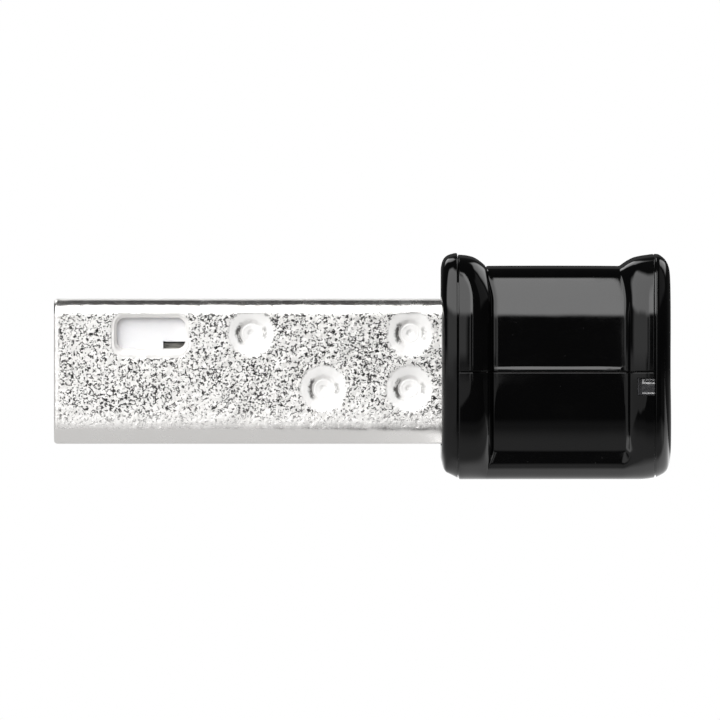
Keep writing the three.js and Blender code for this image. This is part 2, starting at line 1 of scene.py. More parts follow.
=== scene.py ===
import math
import bpy
import bmesh
import numpy as np
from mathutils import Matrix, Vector


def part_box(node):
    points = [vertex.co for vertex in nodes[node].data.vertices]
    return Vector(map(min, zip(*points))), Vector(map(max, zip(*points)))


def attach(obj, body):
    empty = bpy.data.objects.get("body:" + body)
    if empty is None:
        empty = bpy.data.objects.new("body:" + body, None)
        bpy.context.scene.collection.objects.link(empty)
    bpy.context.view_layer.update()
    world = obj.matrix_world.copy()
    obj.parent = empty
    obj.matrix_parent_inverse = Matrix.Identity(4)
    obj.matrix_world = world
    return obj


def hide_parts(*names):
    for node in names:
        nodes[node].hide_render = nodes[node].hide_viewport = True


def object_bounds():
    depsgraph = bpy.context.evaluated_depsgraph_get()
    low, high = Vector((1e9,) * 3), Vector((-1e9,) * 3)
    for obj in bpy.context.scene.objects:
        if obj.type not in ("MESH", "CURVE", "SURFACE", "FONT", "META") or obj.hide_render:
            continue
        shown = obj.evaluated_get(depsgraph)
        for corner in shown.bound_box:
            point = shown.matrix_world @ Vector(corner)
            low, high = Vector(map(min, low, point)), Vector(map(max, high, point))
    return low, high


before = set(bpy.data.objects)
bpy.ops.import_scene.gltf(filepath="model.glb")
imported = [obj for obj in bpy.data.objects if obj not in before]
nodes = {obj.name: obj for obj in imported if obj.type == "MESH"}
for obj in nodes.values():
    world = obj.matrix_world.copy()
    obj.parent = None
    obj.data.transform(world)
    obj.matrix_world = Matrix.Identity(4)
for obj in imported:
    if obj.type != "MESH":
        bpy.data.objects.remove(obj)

CAD_LO, CAD_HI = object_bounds()
MM = 0.001
scene = bpy.context.scene

# ------------------------------------------------------------------ places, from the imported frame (mm from the plug's tip)
TIP_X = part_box("usb_shell")[0].x / MM
COLLAR_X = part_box("front_collar")[0].x / MM - TIP_X
BODY_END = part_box("rear_cap")[1].x / MM - TIP_X
BODY_W = (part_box("front_collar")[1].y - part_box("front_collar")[0].y) / MM
BODY_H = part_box("front_collar")[1].z / MM
SHELL_W = (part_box("usb_shell")[1].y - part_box("usb_shell")[0].y) / MM
SHELL_LEN = (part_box("usb_shell")[1].x / MM) - TIP_X
X_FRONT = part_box("upper_cover")[0].x / MM - TIP_X      # the covers' front edge, behind the seam
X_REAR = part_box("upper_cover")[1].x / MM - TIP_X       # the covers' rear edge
PART_Z = 3.34
SEAM = 0.034
SHELL_Z0, SHELL_H, SHELL_WALL, SHELL_R = 1.11, 4.5, 0.25, 0.5
BODY_LEN = BODY_END - COLLAR_X


def P(x, y, z):
    """mm from the tip, the middle and the base, to metres in the frame"""
    return np.stack(np.broadcast_arrays(
        (np.asarray(x, float) + TIP_X) * MM, np.asarray(y, float) * MM, np.asarray(z, float) * MM), -1)


# ------------------------------------------------------------------ mesh helpers
def mesh_object(name, verts, faces, body="root", smooth=True):
    me = bpy.data.meshes.new(name)
    me.from_pydata([tuple(v) for v in verts], [], [tuple(int(i) for i in f) for f in faces])
    me.validate(clean_customdata=False)
    me.update()
    if smooth:
        me.polygons.foreach_set("use_smooth", [True] * len(me.polygons))
    ob = bpy.data.objects.new(name, me)
    scene.collection.objects.link(ob)
    if body:
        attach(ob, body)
    return ob


def outward(ob):
    bm = bmesh.new()
    bm.from_mesh(ob.data)
    bmesh.ops.remove_doubles(bm, verts=bm.verts, dist=2e-9)
    bmesh.ops.dissolve_degenerate(bm, edges=bm.edges, dist=1e-9)
    bmesh.ops.recalc_face_normals(bm, faces=bm.faces)
    if bm.calc_volume(signed=True) < 0:
        bmesh.ops.reverse_faces(bm, faces=bm.faces)
    bm.to_mesh(ob.data)
    bm.free()
    ob.data.update()
    return ob


def ring_loft(rings, wrap=False, cap=(False, False)):
    """closed loops (R, N, 3) joined in order; wrap joins the last to the first; cap closes an end on its middle"""
    rings = np.asarray(rings)
    R, N = rings.shape[:2]
    verts = list(rings.reshape(-1, 3))
    faces = []
    last = R if wrap else R - 1
    i = np.arange(N)
    j = (i + 1) % N
    for r in range(last):
        a, b = r * N, ((r + 1) % R) * N
        faces += list(np.stack([a + i, a + j, b + j, b + i], 1))
    for end, on in ((0, cap[0]), (R - 1, cap[1])):
        if on:
            c = len(verts)
            verts.append(rings[end].mean(0))
            a = end * N
            faces += [(a + p, a + q, c) for p, q in zip(i, j)]
    return verts, faces


def sharpen(ob, degrees=32):
    ob.data.set_sharp_from_angle(angle=math.radians(degrees))
    m = ob.modifiers.new("weighted", "WEIGHTED_NORMAL")
    m.keep_sharp = True
    m.weight = 60
    return ob


def applied(ob):
    """the object's modifiers, made part of its mesh"""
    bpy.context.view_layer.update()
    dg = bpy.context.evaluated_depsgraph_get()
    me = bpy.data.meshes.new_from_object(ob.evaluated_get(dg), depsgraph=dg)
    old = ob.data
    ob.modifiers.clear()
    ob.data = me
    bpy.data.meshes.remove(old)
    return ob


def boolean(ob, other, operation):
    m = ob.modifiers.new("b", "BOOLEAN")
    m.operation, m.solver, m.object = operation, "EXACT", other
    applied(ob)
    me = other.data
    bpy.data.objects.remove(other)
    bpy.data.meshes.remove(me)
    return ob


def pchip(xs, ys, t):
    """monotone cubic through (xs, ys)"""
    xs, ys = np.asarray(xs, float), np.asarray(ys, float)
    h = np.diff(xs)
    d = np.diff(ys) / h
    m = np.zeros(len(xs))
    for k in range(1, len(xs) - 1):
        if d[k - 1] * d[k] > 0:
            w1, w2 = 2 * h[k] + h[k - 1], h[k] + 2 * h[k - 1]
            m[k] = (w1 + w2) / (w1 / d[k - 1] + w2 / d[k])
    m[0], m[-1] = d[0], d[-1]
    t = np.clip(t, xs[0], xs[-1])
    k = np.clip(np.searchsorted(xs, t, side="right") - 1, 0, len(xs) - 2)
    s = (t - xs[k]) / h[k]
    h00, h10 = 2 * s**3 - 3 * s**2 + 1, s**3 - 2 * s**2 + s
    h01, h11 = -2 * s**3 + 3 * s**2, s**3 - s**2
    return h00 * ys[k] + h10 * h[k] * m[k] + h01 * ys[k + 1] + h11 * h[k] * m[k + 1]


def smooth(a, b, v):
    t = np.clip((np.asarray(v, float) - a) / (b - a), 0, 1)
    return t * t * (3 - 2 * t)


# ------------------------------------------------------------------ housing skin
SIDE_ROUND_TOP, SIDE_ROUND_BOT, TOP_CROWN = 1.3, 1.15, 0.1
Y_TOP = BODY_W / 2 - SIDE_ROUND_TOP


def section_half(upper):
    """right half of the flange section, from the parting plane to the middle of the top (or of the base): y, z"""
    h = (BODY_H - PART_Z) if upper else PART_Z
    near = np.array([0.017, 0.0185, 0.021, 0.025, 0.030, 0.037, 0.045, 0.055, 0.067, 0.08, 0.095, 0.11, 0.13, 0.155, 0.185, 0.22, 0.27, 0.33, 0.40]) / h
    mid = np.linspace(near[-1], 0.74, 22)[1:]
    p0 = math.asin(0.74 ** 1.5)
    phi = np.linspace(p0, math.pi / 2, 26)[1:]
    Z = np.concatenate([near, mid, np.sin(phi) ** (2 / 3)])
    C = np.sqrt(np.clip(1 - Z ** 3, 0, 1))
    a = SIDE_ROUND_TOP if upper else SIDE_ROUND_BOT
    y = BODY_W / 2 - a * (1 - C)
    flat = np.linspace(BODY_W / 2 - a, 0, 15)[1:]
    y = np.concatenate([y, flat])
    Z = np.concatenate([Z, np.ones(len(flat))])
    crown = TOP_CROWN if upper else 0.0
    z = PART_Z + (h - crown * (y / Y_TOP) ** 2) * Z if upper else PART_Z - h * Z
    return y, z


def section_normals(y, z, upper):
    """outward unit normals of the right half section"""
    if upper:
        t = np.stack([np.gradient(y), np.gradient(z)], 1)
    else:
        t = -np.stack([np.gradient(y), np.gradient(z)], 1)
    # tangent by arc length, to be even where the spacing changes
    s = np.concatenate([[0], np.cumsum(np.hypot(np.diff(y), np.diff(z)))])
    dy, dz = np.gradient(y, s), np.gradient(z, s)
    n = np.stack([dz, -dy], 1) if upper else np.stack([-dz, dy], 1)
    n /= np.linalg.norm(n, axis=1)[:, None]
    n[0] = (1, 0)
    n[-1] = (0, 1) if upper else (0, -1)
    if not upper:
        flat = z < 1e-9
        n[flat] = (0, -1)
    return n


def arc(upper):
    """whole half section from one parting edge over the top (or under the base) to the other: y, z, ny, nz"""
    y, z = section_half(upper)
    n = section_normals(y, z, upper)
    Y = np.concatenate([y, -y[-2::-1]])
    Z = np.concatenate([z, z[-2::-1]])
    NY = np.concatenate([n[:, 0], -n[-2::-1, 0]])
    NZ = np.concatenate([n[:, 1], n[-2::-1, 1]])
    return Y, Z, NY, NZ


# rows behind the collar face: top x, top inset, side x, side inset, base x, base inset
ROWS_COLLAR = [
    (0.0, 0.40, 0.0, 0.45, 0.0, 0.66), (0.0187, 0.317, 0.022, 0.37, 0.025, 0.54), (0.045, 0.235, 0.05, 0.30, 0.052, 0.43),
    (0.081, 0.171, 0.090, 0.240, 0.081, 0.325), (0.143, 0.106, 0.143, 0.19, 0.143, 0.232), (0.205, 0.065, 0.205, 0.151, 0.205, 0.20),
    (0.267, 0.042, 0.267, 0.121, 0.267, 0.168), (0.33, 0.023, 0.33, 0.096, 0.33, 0.137), (0.392, 0.008, 0.392, 0.078, 0.392, 0.102),
    (0.454, 0.0, 0.454, 0.062, 0.454, 0.068), (0.488, 0.0, 0.488, 0.055, 0.488, 0.045)]
ROWS_FLANGE = [
    (0.522, 0.05, 0.522, 0.048, 0.522, 0.018), (0.58, 0.053, 0.58, 0.037, 0.57, 0.004), (0.706, 0.062, 0.735, 0.014, 0.64, 0.0),
    (0.83, 0.081, 0.924, 0.0, 0.83, 0.0), (0.955, 0.112, 1.08, 0.011, 0.955, 0.0), (1.08, 0.168, 1.2, 0.042, 1.08, 0.0),
    (1.2, 0.249, 1.325, 0.108, 1.2, 0.0), (1.30, 0.33, 1.45, 0.216, 1.3, 0.0), (1.36, 0.39, 1.53, 0.325, 1.36, 0.0),
    (1.39, 0.445, 1.58, 0.445, 1.39, 0.0)]
ROWS_BELT = [
    (1.39, 0.445, 1.58, 0.445, 1.39, 0.0), (1.405, 0.422, 1.60, 0.424, 1.405, 0.0), (1.43, 0.407, 1.635, 0.411, 1.43, 0.0),
    (1.48, 0.401, 1.70, 0.404, 1.48, 0.0), (2.2, 0.396, 2.3, 0.397, 2.2, 0.0), (3.4, 0.394, 3.5, 0.394, 3.4, 0.0),
    (4.6, 0.396, 4.7, 0.397, 4.6, 0.0), (5.42, 0.402, 5.52, 0.405, 5.42, 0.0), (5.527, 0.404, 5.66, 0.408, 5.527, 0.0)]
ROWS_REAR = [
    (5.527, 0.404, 5.66, 0.408, 5.527, 0.0), (5.56, 0.392, 5.70, 0.397, 5.56, 0.0), (5.62, 0.355, 5.745, 0.362, 5.62, 0.0),
    (5.68, 0.308, 5.80, 0.31, 5.68, 0.0), (5.745, 0.264, 5.86, 0.25, 5.745, 0.0), (5.807, 0.227, 5.92, 0.205, 5.807, 0.0),
    (5.87, 0.193, 5.98, 0.17, 5.87, 0.0), (5.93, 0.162, 6.05, 0.138, 5.93, 0.0), (6.0, 0.134, 6.12, 0.112, 6.0, 0.0),
    (6.18, 0.09, 6.24, 0.066, 6.18, 0.002), (6.4, 0.055, 6.38, 0.028, 6.4, 0.022), (6.603, 0.028, 6.603, 0.0215, 6.603, 0.058)]
ROWS_CAP = [
    (6.637, 0.026, 6.637, 0.02, 6.637, 0.066), (6.74, 0.031, 6.72, 0.026, 6.70, 0.09), (6.80, 0.059, 6.79, 0.055, 6.80, 0.14),
    (6.865, 0.103, 6.86, 0.105, 6.87, 0.18), (6.93, 0.159, 6.925, 0.165, 6.93, 0.227), (6.99, 0.235, 6.985, 0.245, 6.99, 0.295),
    (7.035, 0.33, 7.03, 0.345, 7.035, 0.385), (7.065, 0.45, 7.062, 0.46, 7.065, 0.50), (7.082, 0.60, 7.082, 0.62, 7.082, 0.66)]
REAR_FACE = [(0.0, 7.082), (0.08, 7.095), (0.2, 7.108), (0.4, 7.123), (0.65, 7.135), (0.88, 7.14)]


def stations(rows, per):
    """finely interpolated rows"""
    rows = np.asarray(rows, float)
    k = np.arange(len(rows))
    if np.isscalar(per):
        per = [per] * (len(rows) - 1)
    t = np.concatenate([np.linspace(i, i + 1, n, endpoint=False) for i, n in enumerate(per)] + [[len(rows) - 1]])
    return np.stack([pchip(k, rows[:, c], t) for c in range(6)], 1)


EDGE_R = 0.028


def edge_drop(t, r=EDGE_R):
    """how far a rounded edge of radius r falls away, t from the edge"""
    q = np.clip(1 - np.asarray(t) / r, 0, 1)
    return r * (1 - np.sqrt(np.clip(1 - q * q, 0, 1)))


def skin(st, upper, seams=(), parting=True):
    """outer skin at stations st over the upper or lower half section: (R, N, 3) in mm, from the collar face's datum"""
    Y, Z, NY, NZ = arc(upper)
    top = smooth(5.6, 6.9, Z)
    base = smooth(0.84, 0.0, Z)
    side = 1 - top - base
    st = np.asarray(st)
    x = st[:, 0:1] * top + st[:, 2:3] * side + st[:, 4:5] * base
    inset = st[:, 1:2] * top + st[:, 3:4] * side + st[:, 5:6] * base
    for s in seams:
        inset = inset + edge_drop(np.abs(x - s))
    if parting:
        dz = np.abs(Z - PART_Z) - SEAM / 2
        inset = inset + edge_drop(dz, 0.022)[None, :]
        if upper:
            # a fine lip just above the parting line of the belt
            belt = smooth(1.50, 1.72, x) * smooth(5.75, 5.55, x)
            wob = 1 + 0.22 * np.sin(x * 5.3 + 0.7) + 0.16 * np.sin(x * 13.1 + 2.0) + 0.1 * np.sin(x * 31.0)
            inset = inset - 0.026 * wob * smooth(0.165, 0.045, dz)[None, :] * belt
    px = COLLAR_X + x
    py = Y[None, :] - NY[None, :] * inset
    pz = Z[None, :] - NZ[None, :] * inset
    if parting:
        lim = PART_Z + (SEAM / 2 if upper else -SEAM / 2)
        pz = np.maximum(pz, lim) if upper else np.minimum(pz, lim)
    return np.stack([px, py, pz], -1)


def cast(Y, Z, y1, z0, z1, r, c=(0.0, PART_Z)):
    """points of a rounded rectangle (half width y1, z0..z1, corner radius r) on the rays from c through (Y, Z)"""
    out = []
    for y, z in zip(Y, Z):
        dy, dz = y - c[0], z - c[1]
        L = math.hypot(dy, dz) or 1.0
        dy, dz = dy / L, dz / L
        t = min((y1 / abs(dy)) if abs(dy) > 1e-9 else 1e9, ((z1 - c[1]) / dz) if dz > 1e-9 else 1e9,
                ((z0 - c[1]) / dz) if dz < -1e-9 else 1e9)
        py, pz = dy * t, c[1] + dz * t
        ky, kz = y1 - r, (z1 - r) if pz > c[1] else (z0 + r)
        if abs(py) > ky and ((pz > kz) if pz > c[1] else (pz < kz)):
            # on the corner: meet the circle
            cy, cz = math.copysign(ky, py), kz
            b = dy * (0 - cy) + dz * (c[1] - cz)
            q = cy * cy + (c[1] - cz) ** 2 - r * r
            t = -b + math.sqrt(max(b * b - q, 0))
            py, pz = dy * t, c[1] + dz * t
        out.append((py, pz))
    return np.array(out)


CAV = (6.35, 0.75, 6.0, 0.8)
POCK = (6.85, 0.55, 6.4, 0.8)
SPIG_OUT = (6.81, 0.59, 6.36, 0.75)
SPIG_IN = (6.39, 1.01, 5.94, 0.45)


def to_m(a):
    return P(a[..., 0], a[..., 1], a[..., 2])


def full_ring(up, lo):
    """one closed loop from the matching rows of the upper and lower arcs"""
    return np.concatenate([up, lo[::-1]], 0)


def cover(name, upper):
    edge = np.array([0, 0.0015, 0.004, 0.008, 0.013, 0.019, 0.028])
    st = stations(ROWS_FLANGE, [4, 4, 4, 4, 4, 4, 4, 4, 4])[:-1]
    st = np.concatenate([st, stations(ROWS_BELT, [4, 4, 4, 4, 2, 2, 4, 4])[:-1], stations(ROWS_REAR, 4)])
    # add stations inside the rounded seam edges
    def near(edge_x, sign):
        rows = []
        for e in edge[1:]:
            x = edge_x + sign * e
            k = np.array([np.interp(x, st[:, 0], st[:, c]) for c in range(6)])
            k[0] = k[2] = k[4] = x
            rows.append(k)
        return np.array(rows)
    f, r = near(st[0, 0], 1), near(st[-1, 0], -1)
    st = np.concatenate([st[:1], f, st[st[:, 0] > f[-1, 0] + 1e-4]])
    st = np.concatenate([st[st[:, 0] < r[-1, 0] - 1e-4], r[::-1], st[-1:]])
    outer = skin(st, upper, seams=(st[0, 0], st[-1, 0]))
    Y, Z = arc(upper)[:2]
    cav, pock = cast(Y, Z, *CAV), cast(Y, Z, *POCK)
    lim = PART_Z + (SEAM / 2 if upper else -SEAM / 2)
    for a in (cav, pock):
        a[0, 1] = a[-1, 1] = lim
    xf, xr = X_FRONT + 0.62, X_REAR - 0.6
    loops = []
    for row in outer:
        xm = row[len(row) // 2, 0]
        w = float(np.clip(min(smooth(xf, xf + 0.05, xm), smooth(xr, xr - 0.05, xm)), 0, 1))
        inner = pock * (1 - w) + cav * w
        ix = np.full(len(inner), xm)
        inn = np.stack([ix, inner[:, 0], inner[:, 1]], -1)
        loops.append(np.concatenate([row, inn[::-1]], 0))
    loops = to_m(np.array(loops))
    verts, faces = ring_loft(loops)
    N = outer.shape[1]
    for base in (0, (len(loops) - 1) * 2 * N):
        for i in range(N - 1):
            faces.append((base + i, base + i + 1, base + 2 * N - 2 - i, base + 2 * N - 1 - i))
    ob = outward(mesh_object(name, verts, faces))
    return ob


def seam_rows(rows, edge_x, sign):
    out = []
    for e in (0.0015, 0.004, 0.008, 0.013, 0.019, 0.028):
        x = edge_x + sign * e
        k = np.array([np.interp(x, rows[:, 0], rows[:, c]) for c in range(6)])
        k[0] = k[2] = k[4] = x
        out.append(k)
    return np.array(out)


def rings_from(st, seams):
    up, lo = skin(st, True, seams, parting=False), skin(st, False, seams, parting=False)
    return np.array([full_ring(a, b) for a, b in zip(up, lo)])


def inset_ring(row, depth):
    """the closed section at one station, sunk a further depth below the skin"""
    row = np.array([row], float)
    up, lo = (skin(row, u, (), parting=False)[0] for u in (True, False))
    nu, nl = arc(True)[2:], arc(False)[2:]
    n = full_ring(np.stack(nu, 1), np.stack(nl, 1))
    ring = full_ring(up, lo)
    ring[:, 1] -= n[:, 0] * depth
    ring[:, 2] -= n[:, 1] * depth
    ring[:, 0] = COLLAR_X + row[0, 0]
    return ring


def rect_ring(x, y1, z0, z1, r):
    Yu, Zu = arc(True)[:2]
    Yl, Zl = arc(False)[:2]
    a, b = cast(Yu, Zu, y1, z0, z1, r), cast(Yl, Zl, y1, z0, z1, r)
    yz = np.concatenate([a, b[::-1]], 0)
    return np.stack([np.full(len(yz), x), yz[:, 0], yz[:, 1]], -1)


def front_collar():
    st = stations(ROWS_COLLAR, 4)
    s = seam_rows(st, st[-1, 0], -1)
    st = np.concatenate([st[st[:, 0] < s[-1, 0] - 1e-4], s[::-1], st[-1:]])
    outer = rings_from(st, (st[-1, 0],))
    xs, hole = X_FRONT - SEAM, (SHELL_W / 2 + 0.03, SHELL_Z0 - 0.03, SHELL_Z0 + SHELL_H + 0.03, SHELL_R + 0.03)
    spig_end = X_FRONT + 0.53
    clear = (SHELL_W / 2 + 0.34, SHELL_Z0 - 0.09, SHELL_Z0 + SHELL_H + 0.3, 0.4)
    rings = [*outer]
    # a low rib in the seam keeps light out; it sits deeper along the top
    deep = 0.07 + 0.16 * smooth(5.9, 6.7, outer[-1][:, 2])
    rib = inset_ring(st[-1], deep)
    rings += [rib.copy(), rib + np.array([SEAM - 0.003, 0, 0])]
    rings += [rect_ring(xs + SEAM - 0.003, *SPIG_OUT), rect_ring(spig_end - 0.05, *SPIG_OUT),
              rect_ring(spig_end, SPIG_OUT[0] - 0.05, SPIG_OUT[1] + 0.05, SPIG_OUT[2] - 0.05, 0.7),
              rect_ring(spig_end, clear[0] + 0.03, clear[1] - 0.0, clear[2] + 0.0, 0.43), rect_ring(xs - 0.1, *clear)]
    # bore for the plug, with its front edge broken
    grow = lambda g: (hole[0] + g, hole[1] - g, hole[2] + g, hole[3] + g)
    rings += [rect_ring(xs - 0.1, *hole)]
    rings += [rect_ring(COLLAR_X + 0.05, *hole), rect_ring(COLLAR_X + 0.02, *grow(0.008)), rect_ring(COLLAR_X + 0.006, *grow(0.022)),
              rect_ring(COLLAR_X, *grow(0.045))]
    # front face between the bore and the edge, in a few steps
    first, face = rings[-1], outer[0]
    for f in (0.2, 0.45, 0.7, 0.9):
        rings.append(first * (1 - f) + face * f)
    return outward(mesh_object("collar_moulding", *ring_loft(to_m(np.array(rings)), wrap=True)))


def rear_cap():
    st = stations(ROWS_CAP, 4)
    s = seam_rows(st, st[0, 0], 1)
    st = np.concatenate([st[:1], s, st[st[:, 0] > s[-1, 0] + 1e-4]])
    outer = rings_from(st, (st[0, 0],))
    last = outer[-1]
    rings = []
    # inside first: the floor of the cap, the spigot's bore, its end, its outside, then the seam face and the skin
    x0 = X_REAR + SEAM
    spig_end = X_REAR - 0.53
    floor = rect_ring(x0 + 0.02, *SPIG_IN)
    mid = np.array([x0 + 0.02, 0, PART_Z])
    for f in (0.9, 0.6, 0.3):
        rings.append(floor * (1 - f) + mid * f)
    rib = inset_ring(st[0], 0.055)
    rings += [floor, rect_ring(spig_end, *SPIG_IN), rect_ring(spig_end, *SPIG_OUT), rect_ring(x0 - SEAM + 0.003, *SPIG_OUT)]
    rings += [rib + np.array([-SEAM + 0.003, 0, 0]), rib.copy()]
    rings += [*outer]
    fs, xs = np.array(REAR_FACE).T
    for f in np.concatenate([np.linspace(0.01, 0.2, 6), np.linspace(0.26, 0.95, 10)]):
        r = last.copy()
        r[:, 1] *= 1 - f
        r[:, 2] = PART_Z + (r[:, 2] - PART_Z) * (1 - f)
        low = smooth(PART_Z - 0.6, 0.9, last[:, 2]) * 1.6 + 0.35 * smooth(PART_Z + 0.6, 6.2, last[:, 2])
        r[:, 0] = COLLAR_X + pchip(fs, xs, np.minimum(1 - (1 - f) ** (1 + low), fs[-1]))
        rings.append(r)
    return outward(mesh_object("cap_moulding", *ring_loft(to_m(np.array(rings)), cap=(True, True))))


# ------------------------------------------------------------------ plug shell
WINDOW = dict(x0=1.95, x1=4.07, z0=4.07, z1=5.02)
DIMPLES = [(6.12, 4.54), (11.05, 4.54), (8.36, 2.82), (11.03, 2.82)]
DISH = [(0.0, 0.198), (0.03, 0.198), (0.06, 0.195), (0.085, 0.184), (0.105, 0.169), (0.13, 0.161), (0.16, 0.159), (0.21, 0.160),
        (0.235, 0.160), (0.250, 0.155), (0.265, 0.157), (0.28, 0.163), (0.30, 0.165), (0.32, 0.161), (0.335, 0.151), (0.35, 0.134),
        (0.37, 0.108), (0.39, 0.082), (0.41, 0.060), (0.43, 0.045), (0.455, 0.036), (0.50, 0.028), (0.55, 0.021), (0.60, 0.013),
        (0.65, 0.006), (0.69, 0.002), (0.72, 0.0)]
BOSS = [(0.0, 0.19), (0.30, 0.188), (0.38, 0.17), (0.46, 0.13), (0.52, 0.09), (0.6, 0.04), (0.68, 0.0)]


def rr_loop(x0, x1, y0, y1, r, n=10):
    """rounded rectangle loop, counter-clockwise"""
    pts = []
    r = min(r, (x1 - x0) / 2 - 1e-6, (y1 - y0) / 2 - 1e-6)
    for cx, cy, a0 in ((x1 - r, y0 + r, -90), (x1 - r, y1 - r, 0), (x0 + r, y1 - r, 90), (x0 + r, y0 + r, 180)):
        for a in np.linspace(a0, a0 + 90, n + 1):
            pts.append((cx + r * math.cos(math.radians(a)), cy + r * math.sin(math.radians(a))))
    return np.array(pts)


def tube_ring(x, shrink, inner=False):
    w = SHELL_WALL if inner else 0.0
    k = w + shrink
    a = rr_loop(-SHELL_W / 2 + k, SHELL_W / 2 - k, SHELL_Z0 + k, SHELL_Z0 + SHELL_H - k, max(SHELL_R - k, 0.05), 12)
    return np.stack([np.full(len(a), x), a[:, 0], a[:, 1]], -1)


def tool(pieces, name):
    """several closed pieces in one mesh, to cut or join with"""
    verts, faces = [], []
    for v, f in pieces:
        o = len(verts)
        verts += list(v)
        faces += [tuple(int(i) + o for i in q) for q in f]
    return outward(mesh_object(name, verts, faces, body=None))


def lathe_pieces(profile, depth0, side, x, z, n=56):
    """profile of (radius, depth) turned about the axis across the plug, closed at depth0"""
    a = np.linspace(0, 2 * math.pi, n, endpoint=False)
    rings = []
    for r, d in profile:
        if r == 0:
            continue
        rings.append(np.stack([x + r * np.cos(a), np.full(n, side * (SHELL_W / 2 - d)), z + r * np.sin(a)], -1))
    r = profile[-1][0]
    rings.append(np.stack([x + r * np.cos(a), np.full(n, side * (SHELL_W / 2 - depth0)), z + r * np.sin(a)], -1))
    return ring_loft(to_m(np.array(rings)), cap=(True, True))


def usb_shell():
    L = SHELL_LEN
    tip = [(0.115, 0.0), (0.085, 0.004), (0.055, 0.014), (0.03, 0.03), (0.012, 0.052), (0.002, 0.08), (0.0, 0.11)]
    rings = [tube_ring(x, s) for x, s in tip[::-1]]
    # rings along the length, set closer where the plug enters the collar
    xs = [0.5, 2, 5, 8, 11, COLLAR_X - 0.12, COLLAR_X - 0.05, COLLAR_X + 0.02, L - 0.04]
    rings += [tube_ring(x, 0.0) for x in xs]
    rings += [tube_ring(L - 0.01, 0.01), tube_ring(L, 0.03), tube_ring(L, -0.03, True), tube_ring(L - 0.02, 0.0, True)]
    rings += [tube_ring(x, 0.0, True) for x in (9.0, 4.0, 0.16)]
    rings += [tube_ring(0.07, -0.012, True), tube_ring(0.02, -0.045, True), tube_ring(0.0, -0.085, True)]
    ob = outward(mesh_object("plug_shell", *ring_loft(to_m(np.array(rings)), wrap=True)))
    add, cut = [], []
    for side in (-1, 1):
        for x, z in DIMPLES:
            add.append(lathe_pieces([(r, d + SHELL_WALL) for r, d in BOSS], SHELL_WALL * 0.5, side, x, z))
    boolean(ob, tool(add, "bosses"), "UNION")
    for side in (-1, 1):
        for x, z in DIMPLES:
            cut.append(lathe_pieces(DISH, -0.2, side, x, z))
        # window with its rolled-in rim: growth on the left, right, bottom and top at each depth
        w = WINDOW
        rim = [(-0.2, 1.0)] + [(0.17 * k, 1 - math.sqrt(max(0.0, 1 - (1 - k) ** 2))) for k in (0.0, 0.02, 0.06, 0.13, 0.22, 0.34, 0.5, 0.7, 1.0)]
        rim = [(d, 0.10 * g, 0.075 * g, 0.235 * g, 0.13 * g, 0.25 + 0.12 * g) for d, g in rim] + [(0.6, 0, 0, 0, 0, 0.25)]
        rings = []
        for d, l, r, b, t, rad in rim:
            a = rr_loop(w["x0"] - l, w["x1"] + r, w["z0"] - b, w["z1"] + t, rad, 10)
            rings.append(np.stack([a[:, 0], np.full(len(a), side * (SHELL_W / 2 - d)), a[:, 1]], -1))
        cut.append(ring_loft(to_m(np.array(rings)), cap=(True, True)))
    for y in (-2.3, 2.3):
        for up in (0, 1):
            zs = [(-0.3, 0.06), (0.0, 0.045), (0.02, 0.02), (0.05, 0.0), (0.6, 0.0)]
            rings = []
            for d, g in zs:
                a = rr_loop(4.2 - g, 6.2 + g, y - 1.25 - g, y + 1.25 + g, 0.12 + g, 6)
                z = (SHELL_Z0 + SHELL_H - d) if up else (SHELL_Z0 + d)
                rings.append(np.stack([a[:, 0], a[:, 1], np.full(len(a), z)], -1))
            cut.append(ring_loft(to_m(np.array(rings)), cap=(True, True)))
    # butt joint of the folded strip: a straight slit along the base
    s = 0.015
    for x0, x1, y0, y1 in ((-1, L + 1, -s, s),):
        a = np.array([(x0, y0), (x1, y0), (x1, y1), (x0, y1)], float)
        rings = [np.stack([a[:, 0], a[:, 1], np.full(4, z)], -1) for z in (SHELL_Z0 - 0.5, SHELL_Z0 + SHELL_WALL + 0.3)]
        cut.append(ring_loft(to_m(np.array(rings)), cap=(True, True)))
    boolean(ob, tool(cut, "cuts"), "DIFFERENCE")
    return ob


shell = usb_shell()
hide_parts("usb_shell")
sharpen(shell, 38)

upper = cover("upper_moulding", True)
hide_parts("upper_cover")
lower = cover("lower_moulding", False)
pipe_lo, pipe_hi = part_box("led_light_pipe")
g = 0.012
px0, px1, pz0, pz1 = pipe_lo.x / MM - TIP_X - g, X_REAR + 0.1, pipe_lo.z / MM - g, pipe_hi.z / MM + g
box = [P([px0, px1, px1, px0], [y] * 4, [pz0, pz0, pz1, pz1]) for y in (-8.0, pipe_hi.y / MM + 0.6)]
boolean(lower, tool([ring_loft(np.array(box), cap=(True, True))], "notch"), "DIFFERENCE")
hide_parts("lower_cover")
collar = front_collar()
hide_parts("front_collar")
cap = rear_cap()
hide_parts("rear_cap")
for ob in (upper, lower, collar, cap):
    ob.data.set_sharp_from_angle(angle=math.radians(50))


